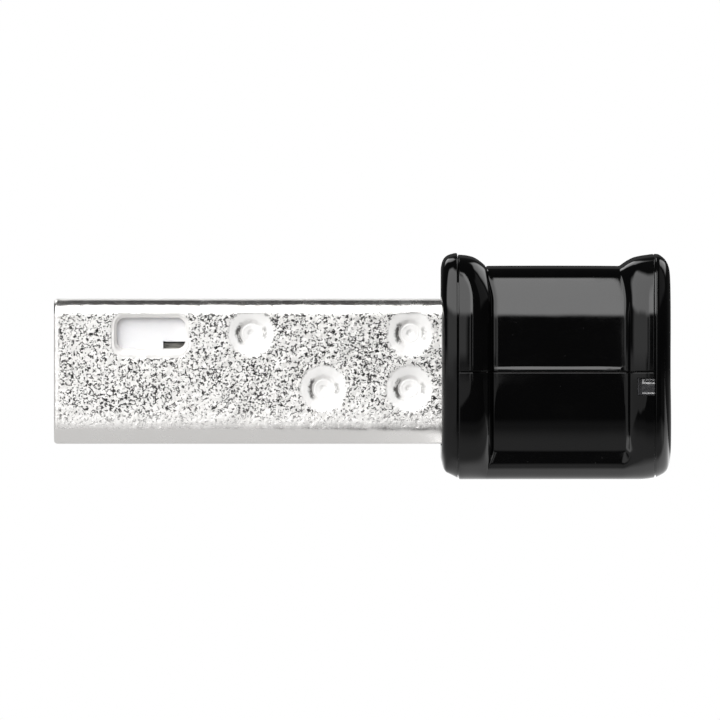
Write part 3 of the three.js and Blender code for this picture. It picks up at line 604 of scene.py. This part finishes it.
def light_pipe():
    """smoked insert in the notch: a cushioned face, proud shoulder at its top and a fine ledge at its foot"""
    x0, x1 = pipe_lo.x / MM - TIP_X, pipe_hi.x / MM - TIP_X
    z0, z1 = pipe_lo.z / MM, pipe_hi.z / MM
    rng = np.random.default_rng(7)
    xs = np.linspace(x0, x1, 49)
    zs = np.linspace(z0, z1, 49)
    X, Z = np.meshgrid(xs, zs, indexing="ij")
    u, v = (X - x0) / (x1 - x0), (Z - z0) / (z1 - z0)
    h = (PART_Z - Z) / PART_Z
    yskin = BODY_W / 2 - SIDE_ROUND_BOT * (1 - np.sqrt(np.clip(1 - h ** 3, 0, 1))) - 0.045
    d = pchip([0, 0.05, 0.10, 0.16, 0.62, 0.66, 0.72, 0.80, 0.88, 0.92, 1.0], [0.036, 0.031, 0.034, 0.046, 0.043, 0.045, 0.053, 0.074, 0.094, 0.098, 0.099], v.ravel()).reshape(v.shape)
    w = smooth(0.04, 0.26, u)
    d = (d + 0.02) * w + 0.012 * (1 - w)
    for k in range(26):
        a, b, r = rng.uniform(0.3, 0.95), rng.uniform(0.0, 1.0), rng.uniform(0.05, 0.12)
        d = d + rng.uniform(-0.0025, 0.0025) * np.exp(-(((u - a) / r) ** 2 + ((v - b) / r) ** 2))
    front = P(X, -(yskin - d), Z)
    back = P(X, np.full(X.shape, pipe_hi.y / MM), Z)
    n, m = X.shape
    verts = list(front.reshape(-1, 3)) + list(back.reshape(-1, 3))
    idx = np.arange(n * m).reshape(n, m)
    off = n * m
    faces = []
    for i in range(n - 1):
        for j in range(m - 1):
            q = (idx[i, j], idx[i + 1, j], idx[i + 1, j + 1], idx[i, j + 1])
            faces.append(q)
            faces.append(tuple(off + t for t in q[::-1]))
    for line in (idx[:, 0], idx[-1, :], idx[::-1, -1], idx[0, ::-1]):
        for p, q in zip(line[:-1], line[1:]):
            faces.append((q, p, off + p, off + q))
    return outward(mesh_object("light_pipe_lens", verts, faces))


lens = light_pipe()
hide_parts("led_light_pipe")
lens.data.set_sharp_from_angle(angle=math.radians(45))


# ------------------------------------------------------------------ material helpers
class Nodes:
    def __init__(self, name):
        self.mat = bpy.data.materials.new(name)
        self.mat.use_nodes = True
        self.t = self.mat.node_tree
        self.bsdf = next(n for n in self.t.nodes if n.type == "BSDF_PRINCIPLED")
        self.out = next(n for n in self.t.nodes if n.type == "OUTPUT_MATERIAL")
        tc = self.t.nodes.new("ShaderNodeTexCoord")
        self.pos = self.math_vec("MULTIPLY", tc.outputs["Object"], (1000.0, 1000.0, 1000.0))   # millimetres in the frame

    def new(self, kind, **kw):
        n = self.t.nodes.new(kind)
        for k, v in kw.items():
            setattr(n, k, v)
        return n

    def put(self, socket, value):
        if hasattr(value, "is_output"):
            self.t.links.new(value, socket)
        elif isinstance(value, (tuple, list)) and len(value) == 3 and socket.type == "RGBA":
            socket.default_value = (*value, 1.0)
        else:
            socket.default_value = value

    def math(self, op, a, b=0.0, c=0.0, clamp=False):
        n = self.new("ShaderNodeMath", operation=op, use_clamp=clamp)
        for s, v in zip(n.inputs, (a, b, c)):
            self.put(s, v)
        return n.outputs[0]

    def math_vec(self, op, a, b=(0, 0, 0)):
        n = self.new("ShaderNodeVectorMath", operation=op)
        self.put(n.inputs[0], a)
        self.put(n.inputs[1], b)
        return n.outputs["Value"] if op in ("LENGTH", "DISTANCE", "DOT_PRODUCT") else n.outputs["Vector"]

    def xyz(self, v=None):
        n = self.new("ShaderNodeSeparateXYZ")
        self.put(n.inputs[0], v if v is not None else self.pos)
        return n.outputs

    def combine(self, x, y, z):
        n = self.new("ShaderNodeCombineXYZ")
        for s, v in zip(n.inputs, (x, y, z)):
            self.put(s, v)
        return n.outputs[0]

    def noise(self, scale, detail=2.0, rough=0.5, vec=None, distort=0.0):
        n = self.new("ShaderNodeTexNoise")
        self.put(n.inputs["Vector"], vec if vec is not None else self.pos)
        n.inputs["Scale"].default_value = scale
        n.inputs["Detail"].default_value = detail
        n.inputs["Roughness"].default_value = rough
        n.inputs["Distortion"].default_value = distort
        return n.outputs[0]

    def voronoi(self, scale, feature="F1", vec=None, rnd=1.0):
        n = self.new("ShaderNodeTexVoronoi", feature=feature)
        self.put(n.inputs["Vector"], vec if vec is not None else self.pos)
        n.inputs["Scale"].default_value = scale
        n.inputs["Randomness"].default_value = rnd
        return n.outputs["Distance"]

    def remap(self, v, a, b, c, d, kind="SMOOTHSTEP"):
        n = self.new("ShaderNodeMapRange", interpolation_type=kind)
        for s, x in zip((n.inputs["Value"], n.inputs["From Min"], n.inputs["From Max"], n.inputs["To Min"], n.inputs["To Max"]), (v, a, b, c, d)):
            self.put(s, x)
        return n.outputs["Result"]

    def mix(self, f, a, b):
        n = self.new("ShaderNodeMix", data_type="RGBA")
        self.put(n.inputs[0], f)
        self.put(n.inputs[6], a)
        self.put(n.inputs[7], b)
        return n.outputs[2]

    def bump(self, height, distance_mm, strength=1.0, normal=None):
        n = self.new("ShaderNodeBump")
        self.put(n.inputs["Height"], height)
        n.inputs["Distance"].default_value = distance_mm * MM
        self.put(n.inputs["Strength"], strength)
        if normal is not None:
            self.put(n.inputs["Normal"], normal)
        return n.outputs[0]

    def set(self, **kw):
        names = dict(color="Base Color", rough="Roughness", metal="Metallic", normal="Normal", ior="IOR", coat="Coat Weight",
                     coat_rough="Coat Roughness", coat_normal="Coat Normal", trans="Transmission Weight", sss="Subsurface Weight",
                     sss_r="Subsurface Radius", sss_s="Subsurface Scale", spec="Specular IOR Level", emit="Emission Color", emit_s="Emission Strength")
        for k, v in kw.items():
            self.put(self.bsdf.inputs[names[k]], v)
        return self.mat


def assign(ob, mat):
    ob.data.materials.clear()
    ob.data.materials.append(mat)


# ------------------------------------------------------------------ gloss black housing
def black_plastic():
    n = Nodes("gloss_black_abs")
    wave = n.noise(0.55, 2.0, 0.45)
    fine = n.noise(9.0, 3.0, 0.6)
    grit = n.noise(60.0, 2.0, 0.5)
    h = n.math("ADD", n.math("MULTIPLY", wave, 1.0), n.math("MULTIPLY", fine, 0.012))
    nrm = n.bump(h, 0.007, 1.0)
    nrm = n.bump(grit, 0.00008, 1.0, nrm)
    # a little settled dust and rubbed patches
    specks = n.remap(n.voronoi(3.2), 0.035, 0.02, 0.0, 1.0)
    patch = n.remap(n.noise(0.8, 3.0, 0.6), 0.45, 0.75, 0.0, 1.0)
    colour = n.mix(n.math("MULTIPLY", specks, 0.35), n.mix(patch, (0.0013, 0.0013, 0.0014), (0.0020, 0.0020, 0.0021)), (0.12, 0.12, 0.12))
    rough = n.math("ADD", n.remap(n.noise(2.2, 4.0, 0.65), 0.3, 0.75, 0.035, 0.075), n.math("MULTIPLY", specks, 0.3))
    return n.set(color=colour, rough=rough, metal=0.0, normal=nrm, ior=1.385)


black = black_plastic()
for ob in (upper, lower, collar, cap):
    assign(ob, black)


# ------------------------------------------------------------------ grained nickel shell
def nickel():
    n = Nodes("grained_nickel")
    x, y, z = n.xyz()
    x = n.math("SUBTRACT", x, TIP_X)
    ay = n.math("ABSOLUTE", y)
    side = n.remap(ay, SHELL_W / 2 - 0.32, SHELL_W / 2 - 0.27, 0.0, 1.0, "LINEAR")     # 1 on the two narrow faces
    # distance to the dimples
    near = None
    for dx, dz in DIMPLES:
        v = n.combine(n.math("SUBTRACT", x, dx), 0.0, n.math("SUBTRACT", z, dz))
        d = n.math_vec("LENGTH", v)
        near = d if near is None else n.math("MINIMUM", near, d)
    wob = n.math("MULTIPLY", n.math("SUBTRACT", n.noise(7.0, 2.0), 0.5), 0.16)
    clear = n.remap(n.math("ADD", near, wob), 0.66, 0.78, 0.0, 1.0)
    # distance outside the window's rim
    wx = n.math("MAXIMUM", n.math("SUBTRACT", n.math("ABSOLUTE", n.math("SUBTRACT", x, 3.0)), 1.17 - 0.4), 0.0)
    wz = n.math("MAXIMUM", n.math("SUBTRACT", n.math("ABSOLUTE", n.math("SUBTRACT", z, 4.49)), 0.69 - 0.4), 0.0)
    wd = n.math_vec("LENGTH", n.combine(wx, wz, 0.0))
    win = n.remap(n.math("ADD", wd, n.math("MULTIPLY", wob, 0.7)), 0.41, 0.48, 0.0, 1.0)
    zt = n.remap(n.math("ADD", z, n.math("MULTIPLY", wob, 0.6)), SHELL_Z0 + SHELL_H - 0.40, SHELL_Z0 + SHELL_H - 0.52, 0.0, 1.0)
    zb = n.remap(n.math("ADD", z, n.math("MULTIPLY", wob, 0.6)), SHELL_Z0 + 0.42, SHELL_Z0 + 0.74, 0.0, 1.0)
    on_side = n.math("MULTIPLY", n.math("MULTIPLY", clear, win), n.math("MULTIPLY", zt, zb))
    # broad faces: grained up to the bends
    broad = n.remap(ay, SHELL_W / 2 - 0.62, SHELL_W / 2 - 0.48, 1.0, 0.0)
    mask = n.math("ADD", n.math("MULTIPLY", on_side, side), n.math("MULTIPLY", broad, n.math("SUBTRACT", 1.0, side)), clamp=True)
    # blasted grain: bright pebbles parted by short crooked crevices, bumped in and also painted near-black as shade
    warp = n.new("ShaderNodeTexNoise")
    n.put(warp.inputs["Vector"], n.pos)
    warp.inputs["Scale"].default_value = 11.0
    warp.inputs["Detail"].default_value = 2.0
    vec = n.math_vec("ADD", n.pos, n.math_vec("MULTIPLY", n.math_vec("SUBTRACT", warp.outputs["Color"], (0.5, 0.5, 0.5)), (0.05, 0.05, 0.05)))

    def crevice(scale, offset, width, gate):
        v = n.math_vec("ADD", n.math_vec("MULTIPLY", vec, (0.92, 0.92, 1.15)), (offset, offset * 0.7, offset * 1.3))
        line = n.math("ABSOLUTE", n.math("SUBTRACT", n.noise(scale, 1.0, 0.45, v), 0.5))
        line = n.remap(line, width, width * 0.72, 0.0, 1.0)
        v2 = n.math_vec("ADD", vec, (offset + 5.0, 3.0, offset))
        open_ = n.remap(n.noise(scale * 0.95, 1.0, 0.5, v2), gate, n.math("ADD", gate, 0.025), 0.0, 1.0)
        return n.math("MULTIPLY", line, open_)

    sparse = n.math("ADD", n.remap(n.noise(0.9, 2.0, 0.5), 0.30, 0.65, 0.035, -0.015), n.remap(z, SHELL_Z0 + 0.5, SHELL_Z0 + 1.4, 0.06, 0.0))
    crev = n.math("MAXIMUM", crevice(10.6, 0.0, 0.078, n.math("ADD", sparse, 0.503)), crevice(12.2, 11.0, 0.056, n.math("ADD", sparse, 0.549)))
    inside = n.math("GREATER_THAN", n.math("MAXIMUM", ay, 0.0), SHELL_W / 2 - 0.2)
    faces = n.math("MAXIMUM", inside, n.math("GREATER_THAN", n.math("ABSOLUTE", n.math("SUBTRACT", z, SHELL_Z0 + SHELL_H / 2)), SHELL_H / 2 - 0.2))
    faces = n.math("MULTIPLY", faces, n.remap(x, 0.13, 0.2, 0.0, 1.0))
    fade = n.math("SUBTRACT", 1.0, n.math("MULTIPLY", n.remap(z, SHELL_Z0 + 0.6, SHELL_Z0 + 1.15, 0.55, 0.0), side))
    crevice_depth_and_painted_shade = n.math("MULTIPLY", n.math("MULTIPLY", crev, mask), n.math("MULTIPLY", faces, fade))
    pebble = n.noise(6.5, 2.0, 0.5, vec)
    height = n.math("SUBTRACT", n.math("MULTIPLY", n.math("MULTIPLY", pebble, mask), 0.8), n.math("MULTIPLY", crevice_depth_and_painted_shade, 0.5))
    nrm = n.bump(height, 0.030, 1.0)
    # rolling lines and handling marks on the polished bends
    lines = n.noise(1.0, 3.0, 0.7, n.math_vec("MULTIPLY", n.pos, (0.9, 26.0, 26.0)))
    nrm = n.bump(lines, 0.0010, 1.0, nrm)
    nrm = n.bump(n.noise(1.6, 2.0, 0.5), 0.04, 1.0, nrm)
    # the faces are satin, the bends polished by the folding tool
    bend = n.math("MAXIMUM", n.math("SUBTRACT", 1.0, zt), n.math("SUBTRACT", 1.0, zb))
    satin = n.math("SUBTRACT", 1.0, n.math("MULTIPLY", bend, side))
    tone = n.noise(1.3, 3.0, 0.6)
    colour = n.mix(tone, (0.93, 0.912, 0.89), (0.975, 0.962, 0.945))
    colour = n.mix(n.math("MULTIPLY", n.math("SUBTRACT", 1.0, clear), side), colour, (1.0, 0.99, 0.975))
    # painted shade: dark crescents painted on the steep wall of each dimple at its two sides, where the wall reflects
    # dark
    painted_crescent_shade = None
    for dx, dz in DIMPLES:
        qx, qz = n.math("SUBTRACT", x, dx), n.math("SUBTRACT", z, dz)
        d = n.math_vec("LENGTH", n.combine(qx, 0.0, qz))
        c = n.math("DIVIDE", qx, n.math("MAXIMUM", d, 0.01))
        ring = n.math("MULTIPLY", n.remap(d, 0.335, 0.375, 0.0, 1.0), n.remap(n.math("ADD", d, n.math("MULTIPLY", wob, 0.9)), 0.43, 0.53, 1.0, 0.0))
        arcs = n.math("MAXIMUM", n.remap(c, -0.58, -0.88, 0.0, 1.0), n.remap(c, 0.84, 0.97, 0.0, 0.6))
        q = n.math("MULTIPLY", ring, arcs)
        painted_crescent_shade = q if painted_crescent_shade is None else n.math("MAXIMUM", painted_crescent_shade, q)
    painted_crescent_shade = n.math("MULTIPLY", n.math("MULTIPLY", painted_crescent_shade, side), n.remap(n.noise(9.0, 2.0), 0.36, 0.52, 0.25, 1.0))
    colour = n.mix(n.math("MULTIPLY", painted_crescent_shade, 0.92), colour, (0.07, 0.065, 0.06))
    # painted shade: the crevices are coloured near-black for the shade in them
    colour = n.mix(n.math("MULTIPLY", crevice_depth_and_painted_shade, 0.98), colour, (0.012, 0.011, 0.011))
    rough = n.math("ADD", n.remap(tone, 0.3, 0.7, 0.22, 0.28), n.math("MULTIPLY", satin, 0.20))
    dish = n.math("MULTIPLY", n.math("MULTIPLY", n.math("SUBTRACT", 1.0, clear), side), n.math("SUBTRACT", 1.0, bend))
    matte = n.math("MAXIMUM", n.math("MULTIPLY", n.math("MULTIPLY", satin, faces), 0.55), n.math("MULTIPLY", dish, 0.86))
    metal = n.math("SUBTRACT", 1.0, matte)
    return n.set(color=colour, rough=rough, metal=metal, normal=nrm)


assign(shell, nickel())

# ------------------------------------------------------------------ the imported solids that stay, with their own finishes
def white_plastic():
    n = Nodes("white_insulator_plastic")
    h = n.noise(14.0, 3.0, 0.6)
    nrm = n.bump(h, 0.004, 1.0)
    c = n.mix(n.noise(1.5, 2.0), (0.90, 0.895, 0.91), (0.95, 0.945, 0.955))
    return n.set(color=c, rough=n.remap(h, 0.3, 0.7, 0.34, 0.46), normal=nrm, sss=0.12, sss_r=(1.0, 0.9, 0.8), sss_s=0.0004)


def gold():
    n = Nodes("gold_plate")
    lines = n.noise(1.0, 3.0, 0.7, n.math_vec("MULTIPLY", n.pos, (0.7, 30.0, 30.0)))
    nrm = n.bump(lines, 0.002, 1.0)
    c = n.mix(n.noise(3.0, 3.0), (0.83, 0.60, 0.24), (0.92, 0.72, 0.36))
    return n.set(color=c, rough=n.remap(lines, 0.3, 0.7, 0.16, 0.3), metal=1.0, normal=nrm)


def solder_mask():
    n = Nodes("board_laminate")
    x, y, z = n.xyz()
    geo = n.new("ShaderNodeNewGeometry")
    nz = n.math("ABSOLUTE", n.xyz(geo.outputs["True Normal"])[2])
    face = n.remap(nz, 0.4, 0.6, 0.0, 1.0, "LINEAR")
    # glass weave on the cut edge, layer by layer
    layers = n.noise(1.0, 3.0, 0.6, n.math_vec("MULTIPLY", n.pos, (4.0, 4.0, 22.0)))
    edge = n.mix(n.remap(layers, 0.35, 0.65, 0.0, 1.0), (0.17, 0.165, 0.15), (0.40, 0.39, 0.36))
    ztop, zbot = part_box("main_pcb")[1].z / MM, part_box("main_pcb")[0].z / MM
    # painted shade: a near-black band along the top and bottom of the cut edge, for the shade in the gaps at the
    # board's faces
    rim = n.math("MAXIMUM", n.remap(z, ztop - 0.05, ztop - 0.035, 0.0, 1.0), n.remap(z, zbot + 0.035, zbot + 0.05, 1.0, 0.0))
    edge = n.mix(rim, edge, (0.006, 0.006, 0.006))
    # copper tracks under the mask show a shade lighter
    tracks = n.remap(n.voronoi(1.3, "DISTANCE_TO_EDGE"), 0.05, 0.07, 1.0, 0.0)
    mask = n.mix(tracks, (0.010, 0.055, 0.030), (0.020, 0.105, 0.055))
    c = n.mix(face, edge, mask)
    h = n.math("ADD", n.math("MULTIPLY", tracks, 0.6), n.noise(25.0, 2.0))
    nrm = n.bump(h, 0.008, 1.0)
    return n.set(color=c, rough=n.remap(face, 0, 1, 0.6, 0.28, "LINEAR"), normal=nrm, coat=0.2)


def epoxy(name="moulded_epoxy", tint=(0.02, 0.02, 0.021)):
    n = Nodes(name)
    h = n.noise(30.0, 4.0, 0.65)
    nrm = n.bump(h, 0.008, 1.0)
    c = n.mix(h, tint, tuple(min(1.0, t * 1.9 + 0.01) for t in tint))
    return n.set(color=c, rough=n.remap(h, 0.3, 0.7, 0.45, 0.62), normal=nrm)


def two_tone(name, node, body, end, along, share=0.24, metal_end=1.0):
    """a soldered part: bright wrapped ends, and its own body colour between them"""
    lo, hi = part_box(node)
    n = Nodes(name)
    c = n.xyz()[along]
    a, b = lo[along] / MM, hi[along] / MM
    e = (b - a) * share
    d = n.math("MINIMUM", n.math("SUBTRACT", c, a), n.math("SUBTRACT", b, c))
    wob = n.math("MULTIPLY", n.math("SUBTRACT", n.noise(14.0), 0.5), 0.05)
    ends = n.remap(n.math("ADD", d, wob), e + 0.008, e - 0.008, 0.0, 1.0, "LINEAR")
    h = n.noise(28.0, 3.0, 0.6)
    nrm = n.bump(h, 0.005, 1.0)
    col = n.mix(ends, n.mix(h, body, tuple(min(1, v * 1.25) for v in body)), end)
    return n.set(color=col, rough=n.remap(ends, 0, 1, 0.5, 0.3, "LINEAR"), metal=n.math("MULTIPLY", ends, metal_end), normal=nrm)


def metal_can():
    n = Nodes("plated_can")
    lines = n.noise(1.0, 2.0, 0.6, n.math_vec("MULTIPLY", n.pos, (25.0, 1.2, 25.0)))
    nrm = n.bump(lines, 0.003, 1.0)
    c = n.mix(n.noise(2.0), (0.66, 0.65, 0.62), (0.78, 0.77, 0.74))
    return n.set(color=c, rough=n.remap(lines, 0.3, 0.7, 0.2, 0.34), metal=1.0, normal=nrm)


white, plate, laminate, chip = white_plastic(), gold(), solder_mask(), epoxy()
for k in ("contact_insulator", "pcb_support"):
    assign(nodes[k], white)
for k in ("contact_vbus", "contact_d_minus", "contact_d_plus", "contact_ground"):
    assign(nodes[k], plate)
assign(nodes["main_pcb"], laminate)
assign(nodes["wifi_soc"], chip)
assign(nodes["voltage_regulator"], two_tone("regulator_case", "voltage_regulator", (0.02, 0.02, 0.021), (0.7, 0.69, 0.66), 0, 0.16))
assign(nodes["crystal"], metal_can())
assign(nodes["power_inductor"], epoxy("ferrite", (0.035, 0.034, 0.036)))
TAN, TIN, CREAM = (0.30, 0.20, 0.12), (0.72, 0.71, 0.69), (0.72, 0.70, 0.64)
for k in ("decoupling_capacitor_1", "decoupling_capacitor_2", "decoupling_capacitor_3", "decoupling_capacitor_4", "input_capacitor", "output_capacitor"):
    assign(nodes[k], two_tone(k + "_finish", k, TAN, TIN, 0))
assign(nodes["antenna_match_capacitor"], two_tone("match_c_finish", "antenna_match_capacitor", TAN, TIN, 1))
assign(nodes["antenna_match_inductor"], two_tone("match_l_finish", "antenna_match_inductor", CREAM, TIN, 1))
assign(nodes["chip_antenna"], two_tone("antenna_finish", "chip_antenna", CREAM, TIN, 1, 0.24))
assign(nodes["status_led"], two_tone("led_finish", "status_led", (0.8, 0.79, 0.74), TIN, 1, 0.2))
assign(nodes["led_resistor"], two_tone("resistor_finish", "led_resistor", (0.02, 0.02, 0.022), TIN, 1))


def smoke():
    n = Nodes("smoked_polycarbonate")
    h = n.noise(6.0, 3.0, 0.6)
    nrm = n.bump(h, 0.003, 1.0)
    c = n.mix(h, (0.035, 0.035, 0.037), (0.085, 0.085, 0.09))
    return n.set(color=c, rough=n.remap(h, 0.3, 0.7, 0.08, 0.2), trans=0.35, ior=1.65, normal=nrm)


assign(lens, smoke())


# ------------------------------------------------------------------ floor, light and camera
def plane(name, size, z):
    v = [(-size, -size, z), (size, -size, z), (size, size, z), (-size, size, z)]
    ob = mesh_object(name, v, [(0, 1, 2, 3)], body=None, smooth=False)
    return ob


def glow(name, level):
    """a pale glowing surface, even at a fixed level; level may be a socket, which paints light and shade on it"""
    n = Nodes(name)
    em = n.new("ShaderNodeEmission")
    em.inputs["Color"].default_value = (1, 1, 1, 1)
    n.put(em.inputs["Strength"], level)
    n.t.links.new(em.outputs[0], n.out.inputs[0])
    return n


def floor():
    # what the camera sees: an overexposed white sweep
    ob = plane("studio_floor", 3.0, CAD_LO.z - 4e-6)
    assign(ob, glow("white_sweep", 1.0).mat)
    ob.visible_glossy = ob.visible_diffuse = ob.visible_transmission = False
    # what the object sees: the same table, with painted shade in front of the housing
    ob = plane("studio_table", 3.0, CAD_LO.z - 2e-6)
    n = glow("table_painted_shade_seen_by_the_object", 1.0)
    x, y, z = n.xyz()
    x = n.math("SUBTRACT", x, TIP_X)
    # painted light and shade: full light under and beside the part, a painted shadow patch in front of the housing,
    # dark beyond it where the camera stands
    out = n.math("MAXIMUM", n.math("SUBTRACT", -BODY_W / 2, y), 0.0)          # how far in front of the housing
    left = n.math("ADD", x, n.math("MULTIPLY", n.math("MINIMUM", out, 17.0), 0.36))                       # the shade fans out
    right = n.math("SUBTRACT", x, n.math("MULTIPLY", out, 1.7))
    m = n.math("MULTIPLY", n.remap(left, COLLAR_X - 1.4, COLLAR_X + 0.8, 0.0, 1.0), n.remap(right, BODY_END + 0.6, BODY_END + 3.5, 1.0, 0.0))
    m = n.math("MULTIPLY", m, n.remap(out, 0.0, 0.25, 0.0, 1.0))
    near = n.remap(out, 1.0, 4.6, 0.62, 0.20)
    far = n.remap(out, 4.6, 8.5, 1.0, 0.18)
    open_ = n.math("MULTIPLY", n.remap(x, 8.0, 19.0, 0.60, 1.05), n.remap(x, 22.0, 34.0, 1.0, 0.10))
    under = n.math("MULTIPLY", n.remap(x, COLLAR_X - 0.5, COLLAR_X + 0.8, 0.0, 1.0), n.remap(n.math("ABSOLUTE", y), BODY_W / 2 + 0.1, BODY_W / 2 - 0.4, 0.0, 1.3))
    open_ = n.math("ADD", open_, under)
    level = n.math("ADD", n.math("MULTIPLY", n.math("SUBTRACT", 1.0, m), open_),
                   n.math("MULTIPLY", m, n.math("MULTIPLY", near, far)))
    em = next(q for q in n.t.nodes if q.type == "EMISSION")
    n.put(em.inputs["Strength"], level)
    assign(ob, n.mat)
    ob.visible_camera = False


floor()


def studio():
    w = bpy.data.worlds.new("studio")
    scene.world = w
    w.use_nodes = True
    t = w.node_tree
    t.nodes.clear()
    h = Nodes.__new__(Nodes)
    h.t = t
    tc = t.nodes.new("ShaderNodeTexCoord")
    x, y, z = h.xyz(tc.outputs["Generated"])
    deg = 180 / math.pi
    az = h.math("MULTIPLY", h.math("ARCTAN2", x, h.math("MULTIPLY", y, -1.0)), deg)
    el = h.math("MULTIPLY", h.math("ARCSINE", z), deg)

    def step(v, a, soft):
        return h.remap(v, a - soft, a + soft, 0.0, 1.0)

    def card(a0, a1, e0, e1, level, soft=2.0, esoft=1.2):
        s0, s1 = soft if isinstance(soft, tuple) else (soft, soft)
        t0, t1 = esoft if isinstance(esoft, tuple) else (esoft, esoft)
        m = h.math("MULTIPLY", step(az, a0, s0), h.math("SUBTRACT", 1.0, step(az, a1, s1)))
        m = h.math("MULTIPLY", m, h.math("MULTIPLY", step(el, e0, t0), h.math("SUBTRACT", 1.0, step(el, e1, t1))))
        return h.math("MULTIPLY", m, level)

    parts = [
        card(-5, 4.5, 17.5, 71, 3.95, (3.0, 1.0), (1.6, 3.0)),      # overhead softbox
        card(-72, -5, 16.5, 64, 2.6, (7.0, 3.0), (2.4, 5.0)),        # its wide left wing
        card(-62, -11, 1.0, 16.5, 0.75, (10.0, 2.5), (1.5, 2.4)),    # its front curtain
        card(-85, -28, -30, 1.0, 0.55, (6.0, 8.0), (4.0, 1.5)),
        card(3.2, 5.4, -18, 17.5, 0.9, (0.4, 0.6), (2.0, 1.6)),      # bright edges of the camera's opening
        card(-6.6, -3.6, -18, 17.5, 0.8, (0.6, 0.4), (2.0, 1.6)),
        card(42, 100, 19, 62, 0.18, 5, 3),                           # weak fill on the right
        card(112, 150, 26, 62, 1.6, 6, 4),                           # cards behind, for the far side
        card(-163, -135, 26, 62, 1.6, 5, 4),
    ]
    total = 0.024
    for p in parts:
        total = h.math("ADD", p, total)
    total = h.math("MULTIPLY", total, 1.6)
    lp = t.nodes.new("ShaderNodeLightPath")
    level = h.math("ADD", h.math("MULTIPLY", total, h.math("SUBTRACT", 1.0, lp.outputs["Is Camera Ray"])), lp.outputs["Is Camera Ray"])
    bg = t.nodes.new("ShaderNodeBackground")
    out = t.nodes.new("ShaderNodeOutputWorld")
    bg.inputs["Color"].default_value = (1, 1, 1, 1)
    t.links.new(level, bg.inputs["Strength"])
    t.links.new(bg.outputs[0], out.inputs[0])
    w.cycles.sampling_method = "MANUAL"
    w.cycles.sample_map_resolution = 1024


studio()
scene.view_settings.view_transform = "Standard"
scene.view_settings.look = "None"
scene.view_settings.exposure = 0.0
scene.view_settings.gamma = 1.0

cam = bpy.data.cameras.new("camera")
cam_ob = bpy.data.objects.new("camera", cam)
scene.collection.objects.link(cam_ob)
scene.camera = cam_ob
PX_PER_MM = 32.15
FIELD = 720 / PX_PER_MM * MM                # what the frame's width covers at the near face of the plug
DIST = 1.0
cam.sensor_width = 36.0
cam.lens = 18.0 / ((FIELD / 2) / (DIST - 3.5 * MM))
# the plug's tip lies at 54.7 across and the base at 479.3 down, in a 720 x 720 frame
cx = TIP_X + (360.0 - 54.7) / PX_PER_MM
cz = (479.3 - 360.0) / PX_PER_MM
cam_ob.location = (cx * MM, -DIST, cz * MM)
cam_ob.rotation_euler = (math.radians(90), 0, 0)
cam.clip_start, cam.clip_end = 0.05, 10.0
